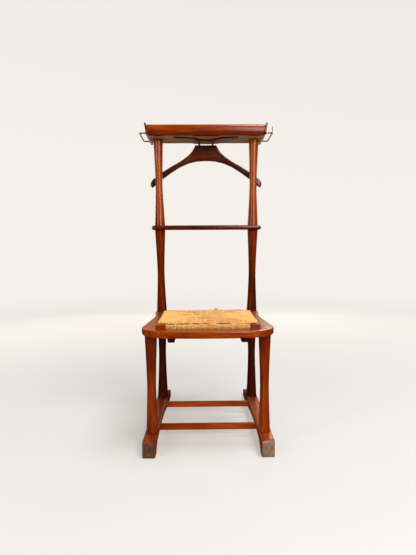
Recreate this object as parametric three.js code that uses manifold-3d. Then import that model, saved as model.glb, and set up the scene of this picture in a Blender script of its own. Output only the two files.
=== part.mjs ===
// A gentleman's valet stand in turned and polished beech: sled runners, turned legs and
// posts, a seat frame with a drop-in rush seat, a trouser bar, a coat hanger, and a small
// tray with flared ends and a brass tie rail at each end.
// Millimetres. X is to the right, Y to the back, Z up. The origin is on the floor, in the
// middle of the stand's outline.
import * as THREE from "three";
import { mergeVertices } from "three/addons/utils/BufferGeometryUtils.js";
import Module from "manifold-3d";

const wasm = await Module();
wasm.setup();

// ---------------------------------------------------------------- driving dimensions
const DEPTH = 560; // front of the seat to the heels of the runners
const GAP = 0.3; // glue line between fixed pieces

const FRONT_LEG = { x: 180, y: -190 };
const REAR_LEG = { x: 176, y: 130 };
const POST_TOP_X = 182; // the posts spread a little towards the tray

const RUNNER_WIDTH = 40;
const RUNNER_TOP = 54;
const RUNNER_X = 180.5;
const TOE_Y = -257;
const HEEL_Y = DEPTH / 2;
const HEEL_HEIGHT = 30;
const ARCH_HEIGHT = 33;

const PLATE_TOP = 396;
const PLATE_THICKNESS = 20;
const PLATE_HALF_WIDTH = 207;
const PLATE_BACK_Y = 157;
const WELL = { halfWidth: 163, front: -229, back: 55 }; // the opening for the drop-in seat

const SEAT = { halfWidth: 161, front: -227, back: 53, bottom: 376.3, top: 415 };
const CORNER_BLOCK = 31;
const BLOCK_DROP = 5; // the rush stands this much higher than the corner blocks
const SEAT_LIFT_LOOP_X = 34;

const TRAY_BOTTOM = 1056;
const TRAY_TOP = 1098;
const TRAY_HALF_WIDTH = 211;
const TRAY_FRONT = 56;
const TRAY_BACK = 193;
const END_BOARD_BACK = 240;
const BASE_THICKNESS = 8;

const BAR = { z: 720, radius: 8.8, halfLength: 207 };
const TIE_RAIL = { reach: 242, front: 58, back: 176, z: 1060, radius: 2.5 };
const HANGER_Y = 170;

const TENON_RADIUS = 9;
const DOWEL_RADIUS = 4;
const SIDES = { left: -1, right: 1 };

// ---------------------------------------------------------------- finishes
const finish = (color, roughness, metalness = 0) =>
  new THREE.MeshStandardMaterial({ color, roughness, metalness });
const polished = finish("#8a3d18", 0.35);
const bare = finish("#a08468", 0.75);
const rush = finish("#cda26a", 0.9);
const brass = finish("#b8923f", 0.3, 1);
const steel = finish("#8d8a80", 0.35, 1);

const stand = new THREE.Group();
stand.name = "valet_stand";

function add(name, geometry, material) {
  const mesh = new THREE.Mesh(geometry, material);
  mesh.name = name;
  stand.add(mesh);
  return mesh;
}

// ---------------------------------------------------------------- shaping tools
// A closed geometry as a solid that can be joined and cut.
function solid(geometry) {
  const bareGeometry = geometry.index ? geometry.toNonIndexed() : geometry.clone();
  bareGeometry.deleteAttribute("normal");
  bareGeometry.deleteAttribute("uv");
  const merged = mergeVertices(bareGeometry, 1e-3);
  return new wasm.Manifold(
    new wasm.Mesh({
      numProp: 3,
      vertProperties: merged.attributes.position.array,
      triVerts: new Uint32Array(merged.index.array),
    }),
  );
}

function geometryOf(made) {
  const { numProp, vertProperties, triVerts, numVert } = made.getMesh();
  const position = new Float32Array(numVert * 3);
  for (let i = 0; i < numVert; i++) {
    position.set(vertProperties.subarray(i * numProp, i * numProp + 3), i * 3);
  }
  return new THREE.BufferGeometry()
    .setAttribute("position", new THREE.BufferAttribute(position, 3))
    .setIndex(new THREE.BufferAttribute(triVerts, 1));
}

const cut = (body, ...tools) => tools.reduce((left, tool) => left.subtract(tool), body);

// A box between two corners.
function block(x0, x1, y0, y1, z0, z1) {
  const box = new THREE.BoxGeometry(x1 - x0, y1 - y0, z1 - z0);
  return box.translate((x0 + x1) / 2, (y0 + y1) / 2, (z0 + z1) / 2);
}

// A round bar from one point to another.
function rod(from, to, radius, sides = 20) {
  const a = new THREE.Vector3(...from);
  const b = new THREE.Vector3(...to);
  const along = b.clone().sub(a);
  const bar = new THREE.CylinderGeometry(radius, radius, along.length(), sides);
  const turn = new THREE.Quaternion().setFromUnitVectors(
    new THREE.Vector3(0, 1, 0),
    along.clone().normalize(),
  );
  return bar.applyQuaternion(turn).translate(...a.add(b).multiplyScalar(0.5).toArray());
}

// An outline drawn in X and Y, raised from z0 to z1, its edges eased by a small bevel.
function slab(shape, z0, z1, ease = 0) {
  const raised = new THREE.ExtrudeGeometry(shape, {
    depth: z1 - z0 - 2 * ease,
    bevelEnabled: ease > 0,
    bevelThickness: ease,
    bevelSize: ease,
    bevelOffset: -ease,
    bevelSegments: 2,
    curveSegments: 8,
  });
  return raised.translate(0, 0, z0 + ease);
}

// An outline drawn as (y, z), carried across from x0 to x1.
function crossPiece(shape, x0, x1, ease = 0) {
  const across = slab(shape, x0, x1, ease);
  return across.applyMatrix4(
    new THREE.Matrix4().set(0, 0, 1, 0, 1, 0, 0, 0, 0, 1, 0, 0, 0, 0, 0, 1),
  );
}

// An outline drawn as (x, z), carried back from y0 to y1.
function throughPiece(shape, y0, y1, ease = 0) {
  const back = slab(shape, -y1, -y0, ease);
  return back.applyMatrix4(
    new THREE.Matrix4().set(1, 0, 0, 0, 0, 0, -1, 0, 0, 1, 0, 0, 0, 0, 0, 1),
  );
}

const closedShape = (points) => new THREE.Shape(points.map(([x, y]) => new THREE.Vector2(x, y)));

// Points of a smooth curve through a few given ones.
function through(points, count) {
  const spline = new THREE.SplineCurve(points.map(([x, y]) => new THREE.Vector2(x, y)));
  return spline.getPoints(count).map((p) => [p.x, p.y]);
}

// ---------------------------------------------------------------- turned pieces
// A turning is a run of waists and swells. Its radius grows from each waist to the next
// swell as the distance to the power 1.35, which leaves a soft ridge at each swell.
function turnedRadius(stations, z) {
  let i = 0;
  while (i < stations.length - 2 && z > stations[i + 1][0]) i++;
  const [z0, r0] = stations[i];
  const [z1, r1] = stations[i + 1];
  const t = (z - z0) / (z1 - z0);
  return r0 < r1 ? r0 + (r1 - r0) * t ** 1.35 : r1 + (r0 - r1) * (1 - t) ** 1.35;
}

// The turning stands on the Z axis. Tenons are [length below, length above].
function turned(stations, tenons, rings) {
  const bottom = stations[0][0];
  const top = stations[stations.length - 1][0];
  const ease = 2;
  const profile = [[0, bottom - tenons[0]]];
  if (tenons[0] > 0) profile.push([TENON_RADIUS, bottom - tenons[0]], [TENON_RADIUS, bottom]);
  profile.push([stations[0][1] - ease, bottom]);
  for (let i = 0; i <= rings; i++) {
    const z = bottom + ease + ((top - bottom - 2 * ease) * i) / rings;
    profile.push([turnedRadius(stations, z), z]);
  }
  profile.push([stations[stations.length - 1][1] - ease, top]);
  if (tenons[1] > 0) profile.push([TENON_RADIUS, top], [TENON_RADIUS, top + tenons[1]]);
  profile.push([0, top + tenons[1]]);
  const lathe = new THREE.LatheGeometry(
    profile.map(([r, z]) => new THREE.Vector2(r, z)),
    20,
  );
  return lathe.rotateX(Math.PI / 2);
}

// A round socket around the Z axis line of a turning.
const socket = (x, y, z0, z1, radius = TENON_RADIUS + GAP) =>
  solid(rod([x, y, z0], [x, y, z1], radius));

// ---------------------------------------------------------------- runners
// The toe and the heel stand on the floor; between them the underside is hollowed to a
// long arch, higher at the front.
const runnerSide = closedShape([
  [TOE_Y + 3, 0],
  [TOE_Y + 30, 0],
  ...through(
    [
      [-215, 14],
      [-188, 26],
      [-130, 31],
      [-50, ARCH_HEIGHT],
      [40, 26],
      [110, 15],
      [170, 6],
    ],
    18,
  ),
  [222, 0],
  [HEEL_Y, 0],
  [HEEL_Y, HEEL_HEIGHT - 4],
  [HEEL_Y - 4, HEEL_HEIGHT],
  [215, 45],
  [165, RUNNER_TOP],
  [TOE_Y + 8, RUNNER_TOP],
  [TOE_Y + 2, RUNNER_TOP - 3],
  [TOE_Y, RUNNER_TOP - 10],
  [TOE_Y, 4],
]);
const RUNNER_SOCKET = 16;
const RUNNER_SPREAD = (0.7 * Math.PI) / 180; // the toes point out a little
for (const [side, sign] of Object.entries(SIDES)) {
  const blank = crossPiece(runnerSide, -RUNNER_WIDTH / 2, RUNNER_WIDTH / 2, 2.5)
    .rotateZ(sign * RUNNER_SPREAD)
    .translate(sign * RUNNER_X, 0, 0);
  const sockets = [FRONT_LEG, REAR_LEG].map(({ x, y }) =>
    socket(sign * x, y, RUNNER_TOP - RUNNER_SOCKET - 1, RUNNER_TOP + 5),
  );
  const stretcherMortises = [-112, 90].map((y) =>
    solid(block(...[sign * 152, sign * 172].sort((a, b) => a - b), y - 6.3, y + 6.3, 31.7, 42.3)),
  );
  add(`runner_${side}`, geometryOf(cut(solid(blank), ...sockets, ...stretcherMortises)), polished);
}

// ---------------------------------------------------------------- shoe rest
// Two flat bars join the runners. Shoes stand across them.
const SHOE_BAR = { thickness: 12, bottom: 27, top: 48 };
const shoeBars = { front: { y: -112, half: 160.2 }, rear: { y: 90, half: 157.8 } };
for (const [place, { y, half }] of Object.entries(shoeBars)) {
  const outline = closedShape([
    [y - SHOE_BAR.thickness / 2, SHOE_BAR.bottom],
    [y + SHOE_BAR.thickness / 2, SHOE_BAR.bottom],
    [y + SHOE_BAR.thickness / 2, SHOE_BAR.top],
    [y - SHOE_BAR.thickness / 2, SHOE_BAR.top],
  ]);
  const bar = solid(crossPiece(outline, -half + 1.5, half - 1.5, 1.5));
  const tenon = solid(block(-half - 9, half + 9, y - 6, y + 6, 32, 42));
  add(`shoe_bar_${place}`, geometryOf(bar.add(tenon)), polished);
}

// ---------------------------------------------------------------- legs
const PLATE_BOTTOM = PLATE_TOP - PLATE_THICKNESS;
const LEG_BASE = RUNNER_TOP + GAP;
const LEG_TOP = PLATE_BOTTOM - GAP;
const frontLegTurning = [
  [LEG_BASE, 18.6],
  [205, 14],
  [LEG_TOP, 20],
];
const rearLegTurning = [
  [LEG_BASE, 20],
  [228, 13.6],
  [LEG_TOP, 20],
];
const TENON_IN_PLATE = 12;
const TENON_IN_POST = PLATE_THICKNESS + 18; // through the seat frame into the post
for (const [side, sign] of Object.entries(SIDES)) {
  const front = turned(frontLegTurning, [RUNNER_SOCKET, TENON_IN_PLATE], 10);
  add(`front_leg_${side}`, front.translate(sign * FRONT_LEG.x, FRONT_LEG.y, 0), polished);
  const rear = turned(rearLegTurning, [RUNNER_SOCKET, TENON_IN_POST], 10);
  add(`rear_leg_${side}`, rear.translate(sign * REAR_LEG.x, REAR_LEG.y, 0), polished);
}

// ---------------------------------------------------------------- seat frame
// Four flat members around the well. The outline swells at the front and narrows to the
// back, where it widens again under the posts.
const rightOutline = through(
  [
    [0, -280],
    [80, -277],
    [150, -267],
    [190, -238],
    [206.5, -200],
    [205, -160],
    [197, -80],
    [190, 0],
    [192, 60],
    [199, 110],
    [197, 142],
    [180, 156],
    [150, PLATE_BACK_Y],
  ],
  48,
).concat([[0, PLATE_BACK_Y]]);
const plateOutline = closedShape([
  ...rightOutline,
  ...rightOutline
    .slice(1, -1)
    .reverse()
    .map(([x, y]) => [-x, y]),
]);
const plate = solid(slab(plateOutline, PLATE_BOTTOM, PLATE_TOP, 2));
const plateBand = (x0, x1, y0, y1) =>
  plate.intersect(solid(block(x0, x1, y0, y1, PLATE_BOTTOM - 5, PLATE_TOP + 5)));
const legSockets = (sign) => [
  socket(sign * FRONT_LEG.x, FRONT_LEG.y, PLATE_BOTTOM - 5, PLATE_BOTTOM + TENON_IN_PLATE + 1),
  socket(sign * REAR_LEG.x, REAR_LEG.y, PLATE_BOTTOM - 5, PLATE_TOP + 5),
];
const OUT = PLATE_HALF_WIDTH + 10;
const rearHoles = [...legSockets(-1), ...legSockets(1)];
add(
  "seat_frame_front",
  geometryOf(plateBand(-OUT, OUT, -300, WELL.front)),
  polished,
);
add(
  "seat_frame_back",
  geometryOf(cut(plateBand(-OUT, OUT, WELL.back, 200), ...rearHoles)),
  polished,
);
for (const [side, sign] of Object.entries(SIDES)) {
  const [x0, x1] = [sign * WELL.halfWidth, sign * OUT].sort((a, b) => a - b);
  const member = plateBand(x0, x1, WELL.front + GAP, WELL.back - GAP);
  add(`seat_frame_${side}`, geometryOf(cut(member, ...legSockets(sign))), polished);
}

// Two bearers under the frame carry the drop-in seat. Each is planed to a narrower foot and
// held by two screws.
const BEARER = { x: 111.5, width: 24, foot: 17, height: 18, front: -246, back: 84 };
const BEARER_TOP = PLATE_BOTTOM - GAP;
const screwY = { front: -238, back: 72 };
const SCREW = { head: 4.5, shank: 2, length: 26 };

// A countersunk screw standing on its head, its point up along Z.
function screw(x, y, z) {
  const profile = [
    [0, 0],
    [SCREW.head, 0],
    [SCREW.shank, 3],
    [SCREW.shank, SCREW.length - 4],
    [0, SCREW.length],
  ];
  const lathe = new THREE.LatheGeometry(
    profile.map(([r, h]) => new THREE.Vector2(r, h)),
    12,
  );
  return lathe.rotateX(Math.PI / 2).translate(x, y, z);
}

// The hole that the screw sits in, a little larger all round.
function screwHole(x, y, z) {
  const shank = solid(rod([x, y, z - 1], [x, y, z + SCREW.length + 1], SCREW.shank + GAP, 12));
  const sink = new THREE.CylinderGeometry(SCREW.shank + GAP, SCREW.head + 1, 4, 12);
  return shank.add(solid(sink.rotateX(Math.PI / 2).translate(x, y, z + 1.6)));
}

for (const [side, sign] of Object.entries(SIDES)) {
  const x = sign * BEARER.x;
  const half = BEARER.width / 2;
  const bottom = BEARER_TOP - BEARER.height;
  const foot = BEARER.foot / 2;
  const section = closedShape([
    [x - half, BEARER_TOP],
    [x - half, bottom + 9],
    [x - foot - 1.5, bottom + 2],
    [x - foot, bottom],
    [x + foot, bottom],
    [x + foot + 1.5, bottom + 2],
    [x + half, bottom + 9],
    [x + half, BEARER_TOP],
  ]);
  const bar = solid(throughPiece(section, BEARER.front, BEARER.back));
  const holes = Object.values(screwY).map((y) => screwHole(x, y, bottom + 0.5));
  add(`seat_bearer_${side}`, geometryOf(cut(bar, ...holes)), polished);
}
for (const node of ["seat_frame_front", "seat_frame_back"]) {
  const member = stand.getObjectByName(node);
  const y = node.endsWith("front") ? screwY.front : screwY.back;
  const holes = Object.values(SIDES).map((sign) =>
    screwHole(sign * BEARER.x, y, BEARER_TOP - BEARER.height + 0.5),
  );
  member.geometry = geometryOf(cut(solid(member.geometry), ...holes));
}
for (const [side, sign] of Object.entries(SIDES)) {
  for (const [end, y] of Object.entries(screwY)) {
    const place = screw(sign * BEARER.x, y, BEARER_TOP - BEARER.height + 0.5);
    add(`bearer_screw_${end}_${side}`, place, steel);
  }
}

// ---------------------------------------------------------------- drop-in rush seat
const RAIL = { thickness: 20, bottom: 382, top: 408 };
const seatMiddleY = (SEAT.front + SEAT.back) / 2;
const seatHalfDepth = (SEAT.back - SEAT.front) / 2;
const inner = SEAT.halfWidth - CORNER_BLOCK;
const innerDepth = seatHalfDepth - CORNER_BLOCK;
const seatBlanks = [];

function seatPiece(name, geometry) {
  seatBlanks.push(geometry.clone());
  add(name, geometry, bare);
}

for (const [side, sx] of Object.entries(SIDES)) {
  for (const [end, sy] of Object.entries({ front: -1, back: 1 })) {
    const [x0, x1] = [sx * inner, sx * SEAT.halfWidth].sort((a, b) => a - b);
    const ys = [seatMiddleY + sy * innerDepth, seatMiddleY + sy * seatHalfDepth];
    const [y0, y1] = ys.sort((a, b) => a - b);
    const corner = block(x0, x1, y0, y1, SEAT.bottom, SEAT.top - BLOCK_DROP);
    seatPiece(`seat_corner_${end}_${side}`, corner);
  }
  const mid = sx * (SEAT.halfWidth - CORNER_BLOCK / 2);
  const half = RAIL.thickness / 2;
  const [y0, y1] = [seatMiddleY - innerDepth + GAP, seatMiddleY + innerDepth - GAP];
  seatPiece(`seat_rail_${side}`, block(mid - half, mid + half, y0, y1, RAIL.bottom, RAIL.top));
}
for (const [end, sy] of Object.entries({ front: -1, back: 1 })) {
  const mid = seatMiddleY + sy * (seatHalfDepth - CORNER_BLOCK / 2);
  const half = RAIL.thickness / 2;
  const rail = block(-inner + GAP, inner - GAP, mid - half, mid + half, RAIL.bottom, RAIL.top);
  seatPiece(`seat_rail_${end}`, rail);
}

// The rush is wound over all four rails and meets in the middle, so it hides them.
const RUSH_EDGE = 2; // the rush stands this far inside the corner blocks
const rushOutline = closedShape([
  [-SEAT.halfWidth + RUSH_EDGE, SEAT.front + RUSH_EDGE],
  [SEAT.halfWidth - RUSH_EDGE, SEAT.front + RUSH_EDGE],
  [SEAT.halfWidth - RUSH_EDGE, SEAT.back - RUSH_EDGE],
  [-SEAT.halfWidth + RUSH_EDGE, SEAT.back - RUSH_EDGE],
]);
const rushPad = solid(slab(rushOutline, SEAT.bottom + 1.5, SEAT.top, 6));
const frameSpace = seatBlanks.map((geometry) => {
  geometry.computeBoundingBox();
  const { min, max } = geometry.boundingBox;
  const tall = max.z > RAIL.top ? 20 : GAP; // the corner blocks stand open, the rails are wound over
  return solid(
    block(min.x - GAP, max.x + GAP, min.y - GAP, max.y + GAP, min.z - tall, max.z + tall),
  );
});
add("rush_seat", geometryOf(cut(rushPad, ...frameSpace)), rush);

// A loop of twisted rush at the back of the seat, to lift it by.
const LOOP = { halfWidth: 7, height: 5.5, radius: 2.6 };
const loopPath = new THREE.CatmullRomCurve3(
  [
    [-LOOP.halfWidth, 0],
    [-LOOP.halfWidth, LOOP.height * 0.6],
    [0, LOOP.height],
    [LOOP.halfWidth, LOOP.height * 0.6],
    [LOOP.halfWidth, 0],
  ].map(
    ([x, z]) =>
      new THREE.Vector3(SEAT_LIFT_LOOP_X + x, SEAT.back - 12, SEAT.top + GAP + z),
  ),
);
const ropeSection = new THREE.Shape();
ropeSection.absarc(0, 0, LOOP.radius, 0, 2 * Math.PI);
add(
  "lifting_loop",
  new THREE.ExtrudeGeometry(ropeSection, { extrudePath: loopPath, steps: 14, curveSegments: 4 }),
  rush,
);

// ---------------------------------------------------------------- posts
const POST_BASE = PLATE_TOP + GAP;
const POST_TOP = TRAY_BOTTOM - GAP;
const POST_SWELL = 20.2; // radius where the trouser bar crosses the posts
const postTurning = [
  [POST_BASE, 19.3],
  [548, 13.4],
  [BAR.z, POST_SWELL],
  [885, 13.4],
  [POST_TOP, 19],
];
const POST_TENON = 6;
const postLean = (sign) =>
  Math.atan2(sign * (POST_TOP_X - REAR_LEG.x), POST_TOP - POST_BASE);
const postX = (sign, z) =>
  sign * (REAR_LEG.x + ((POST_TOP_X - REAR_LEG.x) * (z - POST_BASE)) / (POST_TOP - POST_BASE));
const postFront = REAR_LEG.y - POST_SWELL;
const barY = postFront - GAP - BAR.radius;
const BASE_TOP = TRAY_BOTTOM + BASE_THICKNESS;
const trayScrewZ = BASE_TOP - 0.5;

// A screw from inside the tray runs down into the top of each post.
function trayScrewHole(sign) {
  const x = postX(sign, POST_TOP);
  const tip = trayScrewZ - SCREW.length - 1;
  const shank = solid(rod([x, REAR_LEG.y, tip], [x, REAR_LEG.y, BASE_TOP + 5], SCREW.shank + GAP, 12));
  const sink = new THREE.CylinderGeometry(SCREW.head + 1, SCREW.shank + GAP, 4, 12);
  return shank.add(solid(sink.rotateX(Math.PI / 2).translate(x, REAR_LEG.y, trayScrewZ - 1.6)));
}

for (const [side, sign] of Object.entries(SIDES)) {
  const blank = turned(postTurning, [0, POST_TENON], 20)
    .translate(0, 0, -POST_BASE)
    .rotateY(postLean(sign))
    .translate(sign * REAR_LEG.x, REAR_LEG.y, POST_BASE);
  const legHole = socket(sign * REAR_LEG.x, REAR_LEG.y, POST_BASE - 5, PLATE_TOP + 19);
  const x = postX(sign, BAR.z);
  const dowelHole = solid(
    rod([x, barY, BAR.z], [x, postFront + 17, BAR.z], DOWEL_RADIUS + GAP, 16),
  );
  const post = cut(solid(blank), legHole, dowelHole, trayScrewHole(sign));
  add(`back_post_${side}`, geometryOf(post), polished);
}

// ---------------------------------------------------------------- trouser bar
// A round bar across the front of the posts, doweled to both, its ends rounded.
const barProfile = [[0, -BAR.halfLength]];
for (let i = 1; i <= 5; i++) {
  const a = (i * Math.PI) / 10;
  barProfile.push([BAR.radius * Math.sin(a), -BAR.halfLength + 6 * (1 - Math.cos(a))]);
}
const barHalf = barProfile.slice(1).reverse();
const barPoints = [...barProfile, ...barHalf.map(([r, z]) => [r, -z]), [0, BAR.halfLength]];
const barGeometry = new THREE.LatheGeometry(
  barPoints.map(([r, z]) => new THREE.Vector2(r, z)),
  20,
)
  .rotateZ(-Math.PI / 2)
  .translate(0, barY, BAR.z);
const barHoles = Object.values(SIDES).map((sign) => {
  const x = postX(sign, BAR.z);
  return solid(rod([x, barY - 2, BAR.z], [x, barY + 20, BAR.z], DOWEL_RADIUS + GAP, 16));
});
add("trouser_bar", geometryOf(cut(solid(barGeometry), ...barHoles)), polished);
for (const [side, sign] of Object.entries(SIDES)) {
  const x = postX(sign, BAR.z);
  const dowel = rod([x, barY - 1.5, BAR.z], [x, postFront + 16, BAR.z], DOWEL_RADIUS, 16);
  add(`bar_dowel_${side}`, dowel, bare);
}

// ---------------------------------------------------------------- tray
const RAIL_DEPTH = 18;
const RAIL_HEIGHT = 39.5;
const RAIL_DROP = 3; // the rail hangs a little below the panel
const LIP_THICKNESS = 10;
const trayEnd = TRAY_HALF_WIDTH - GAP;
const baseBack = TRAY_BACK - LIP_THICKNESS - GAP;

const postSocket = (sign) =>
  solid(
    rod(
      [postX(sign, POST_TOP), REAR_LEG.y, TRAY_BOTTOM - 3],
      [postX(sign, POST_TOP), REAR_LEG.y, TRAY_BOTTOM + POST_TENON + 0.4],
      TENON_RADIUS + 0.5,
    ),
  );
const trayBase = solid(
  block(-trayEnd, trayEnd, TRAY_FRONT + RAIL_DEPTH + GAP, baseBack, TRAY_BOTTOM, BASE_TOP),
);
const YOKE_SCREW_X = 74;
const YOKE_SCREW_Y = 145;
const YOKE_THICKNESS = 6;
const YOKE_TOP = TRAY_BOTTOM - GAP;
const PEG = { x: 26, radius: 4, y: HANGER_Y };
const yokeScrewHoles = Object.values(SIDES).map((sign) =>
  solid(
    rod(
      [sign * YOKE_SCREW_X, YOKE_SCREW_Y, TRAY_BOTTOM - 20],
      [sign * YOKE_SCREW_X, YOKE_SCREW_Y, TRAY_BOTTOM + 6],
      SCREW.shank + GAP,
      12,
    ),
  ),
);
add(
  "tray_base",
  geometryOf(
    cut(trayBase, ...[-1, 1].flatMap((sign) => [trayScrewHole(sign), postSocket(sign)]), ...yokeScrewHoles),
  ),
  bare,
);
for (const [side, sign] of Object.entries(SIDES)) {
  const turnedOver = screw(0, 0, 0).rotateX(Math.PI);
  add(`tray_screw_${side}`, turnedOver.translate(postX(sign, POST_TOP), REAR_LEG.y, trayScrewZ), brass);
}

// Thin end boards flare outwards and sweep up to a tip at the front and at the back. Each
// board's section is listed from its inner face, at the bottom, round its outer face.
const END_INNER = [
  [TRAY_HALF_WIDTH, TRAY_BOTTOM - 1],
  [TRAY_HALF_WIDTH + 0.5, TRAY_BOTTOM + 12],
  [TRAY_HALF_WIDTH + 3.5, TRAY_BOTTOM + 26],
  [TRAY_HALF_WIDTH + 9, TRAY_TOP + 2],
];
const END_OUTER = [
  [TRAY_HALF_WIDTH + 9.5, TRAY_BOTTOM - 1],
  [TRAY_HALF_WIDTH + 10, TRAY_BOTTOM + 12],
  [TRAY_HALF_WIDTH + 12, TRAY_BOTTOM + 26],
  [TRAY_HALF_WIDTH + 15, TRAY_TOP + 2],
];
const mirrored = (points, sign) => points.map(([x, z]) => [sign * x, z]);
const endSection = (sign) =>
  closedShape(mirrored([...END_INNER.slice().reverse(), ...END_OUTER], sign));

// The front rail, half-round on its face, and the plain low back lip stand along the edges of
// the panel. Their ends are sawn to the flare of the end boards.
const BEYOND = TRAY_HALF_WIDTH + 40;
const endSaw = [-1, 1].map((sign) =>
  solid(
    throughPiece(
      closedShape(
        mirrored(
          [
            [BEYOND, TRAY_BOTTOM - 10],
            [BEYOND, TRAY_TOP + 2],
            ...END_INNER.slice().reverse().map(([x, z]) => [x - GAP, z]),
            [TRAY_HALF_WIDTH - GAP, TRAY_BOTTOM - 10],
          ],
          sign,
        ),
      ),
      0,
      300,
    ),
  ),
);
const railBottom = TRAY_BOTTOM - RAIL_DROP;
const railFace = [];
for (let i = 0; i <= 10; i++) {
  const a = -Math.PI / 2 + (i * Math.PI) / 10;
  railFace.push([
    TRAY_FRONT + 9 - 9 * Math.cos(a),
    railBottom + RAIL_HEIGHT / 2 + (RAIL_HEIGHT / 2) * Math.sin(a),
  ]);
}
const railSection = closedShape([
  ...railFace.reverse(),
  [TRAY_FRONT + 9.5, railBottom],
  [TRAY_FRONT + RAIL_DEPTH, railBottom],
  [TRAY_FRONT + RAIL_DEPTH, railBottom + RAIL_HEIGHT - 3],
  [TRAY_FRONT + RAIL_DEPTH - 3, railBottom + RAIL_HEIGHT],
]);
const LIP_HEIGHT = 24;
const lipSection = closedShape([
  [TRAY_BACK - LIP_THICKNESS, TRAY_BOTTOM],
  [TRAY_BACK, TRAY_BOTTOM],
  [TRAY_BACK, TRAY_BOTTOM + LIP_HEIGHT - 2],
  [TRAY_BACK - 3, TRAY_BOTTOM + LIP_HEIGHT],
  [TRAY_BACK - LIP_THICKNESS, TRAY_BOTTOM + LIP_HEIGHT],
]);
const sawn = (section) => {
  const blank = solid(crossPiece(section, -TRAY_HALF_WIDTH - 20, TRAY_HALF_WIDTH + 20));
  return geometryOf(cut(blank, ...endSaw));
};
add("tray_front_rail", sawn(railSection), polished);
add("tray_back_lip", sawn(lipSection), polished);

const endOutline = closedShape([
  [TRAY_FRONT - 2, TRAY_BOTTOM + 6],
  [TRAY_FRONT + 4, TRAY_BOTTOM],
  [END_BOARD_BACK - 22, TRAY_BOTTOM],
  ...through(
    [
      [END_BOARD_BACK - 8, TRAY_BOTTOM + 4],
      [END_BOARD_BACK, TRAY_BOTTOM + 16],
      [END_BOARD_BACK - 3, TRAY_BOTTOM + 30],
    ],
    6,
  ),
  [END_BOARD_BACK - 12, TRAY_TOP - 2],
  ...through(
    [
      [END_BOARD_BACK - 30, TRAY_TOP - 7],
      [150, TRAY_TOP - 12],
      [TRAY_FRONT + 22, TRAY_TOP - 7],
      [TRAY_FRONT + 1, TRAY_TOP],
    ],
    12,
  ),
]);
for (const [side, sign] of Object.entries(SIDES)) {
  const flared = solid(throughPiece(endSection(sign), 0, 300));
  const reach = [sign * (TRAY_HALF_WIDTH - 5), sign * (TRAY_HALF_WIDTH + 30)];
  const sideCut = solid(crossPiece(endOutline, Math.min(...reach), Math.max(...reach)));
  const railHoles = [TIE_RAIL.front, TIE_RAIL.back].map((y) =>
    solid(
      rod(
        [sign * (TRAY_HALF_WIDTH + 2.5), y, TIE_RAIL.z],
        [sign * (TRAY_HALF_WIDTH + 20), y, TIE_RAIL.z],
        TIE_RAIL.radius + GAP,
        12,
      ),
    ),
  );
  add(`tray_end_${side}`, geometryOf(cut(flared.intersect(sideCut), ...railHoles)), polished);
}

// ---------------------------------------------------------------- tie rails
// A brass wire bent to a long U, its two ends set into the end board. The right one has
// a thin keeper turned up at its front corner.
const wireSection = new THREE.Shape();
wireSection.absarc(0, 0, TIE_RAIL.radius, 0, 2 * Math.PI);
const BEND = 6;
for (const [side, sign] of Object.entries(SIDES)) {
  const path = new THREE.CurvePath();
  const at = (x, y) => new THREE.Vector3(sign * x, y, TIE_RAIL.z);
  const root = TRAY_HALF_WIDTH + 3;
  const { reach, front, back } = TIE_RAIL;
  path.add(new THREE.LineCurve3(at(root, front), at(reach - BEND, front)));
  path.add(
    new THREE.QuadraticBezierCurve3(at(reach - BEND, front), at(reach, front), at(reach, front + BEND)),
  );
  path.add(new THREE.LineCurve3(at(reach, front + BEND), at(reach, back - BEND)));
  path.add(
    new THREE.QuadraticBezierCurve3(at(reach, back - BEND), at(reach, back), at(reach - BEND, back)),
  );
  path.add(new THREE.LineCurve3(at(reach - BEND, back), at(root, back)));
  let wire = solid(
    new THREE.ExtrudeGeometry(wireSection, { extrudePath: path, steps: 36, curveSegments: 4 }),
  );
  if (side === "right") {
    const foot = [reach - 0.5, front + 3, TIE_RAIL.z];
    const tip = [reach + 1.1, front + 1, TIE_RAIL.z + 24];
    wire = wire.add(solid(rod(foot, tip, 1.3, 8)));
  }
  add(`tie_rail_${side}`, geometryOf(wire), brass);
}

// ---------------------------------------------------------------- hanger yoke
// A flat crescent screwed under the tray. Two pegs hang the coat hanger from its middle.
const crescentFront = through(
  [
    [-121, 86],
    [-93, 89],
    [-70, 93],
    [-49, 102],
    [-26, 118],
    [0, 129],
    [26, 118],
    [49, 102],
    [70, 93],
    [93, 89],
    [121, 86],
  ],
  20,
);
const crescentBack = through(
  [
    [121, 86],
    [107, 110],
    [93, 134],
    [68, 158],
    [30, 178],
    [-30, 178],
    [-68, 158],
    [-93, 134],
    [-107, 110],
    [-121, 86],
  ],
  22,
).slice(1, -1);
const crescent = solid(
  slab(closedShape([...crescentFront, ...crescentBack]), YOKE_TOP - YOKE_THICKNESS, YOKE_TOP),
);
const pegHoles = Object.values(SIDES).map((sign) =>
  socket(sign * PEG.x, PEG.y, YOKE_TOP - YOKE_THICKNESS - 3, YOKE_TOP + 3, PEG.radius + GAP),
);
const yokeHoles = Object.values(SIDES).map((sign) =>
  screwHole(sign * YOKE_SCREW_X, YOKE_SCREW_Y, YOKE_TOP - YOKE_THICKNESS + 0.5),
);
add("hanger_yoke", geometryOf(cut(crescent, ...pegHoles, ...yokeHoles)), polished);
for (const [side, sign] of Object.entries(SIDES)) {
  const short = screw(0, 0, 0).scale(1, 1, 0.42);
  const z = YOKE_TOP - YOKE_THICKNESS + 0.5;
  add(`yoke_screw_${side}`, short.translate(sign * YOKE_SCREW_X, YOKE_SCREW_Y, z), steel);
}

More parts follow.
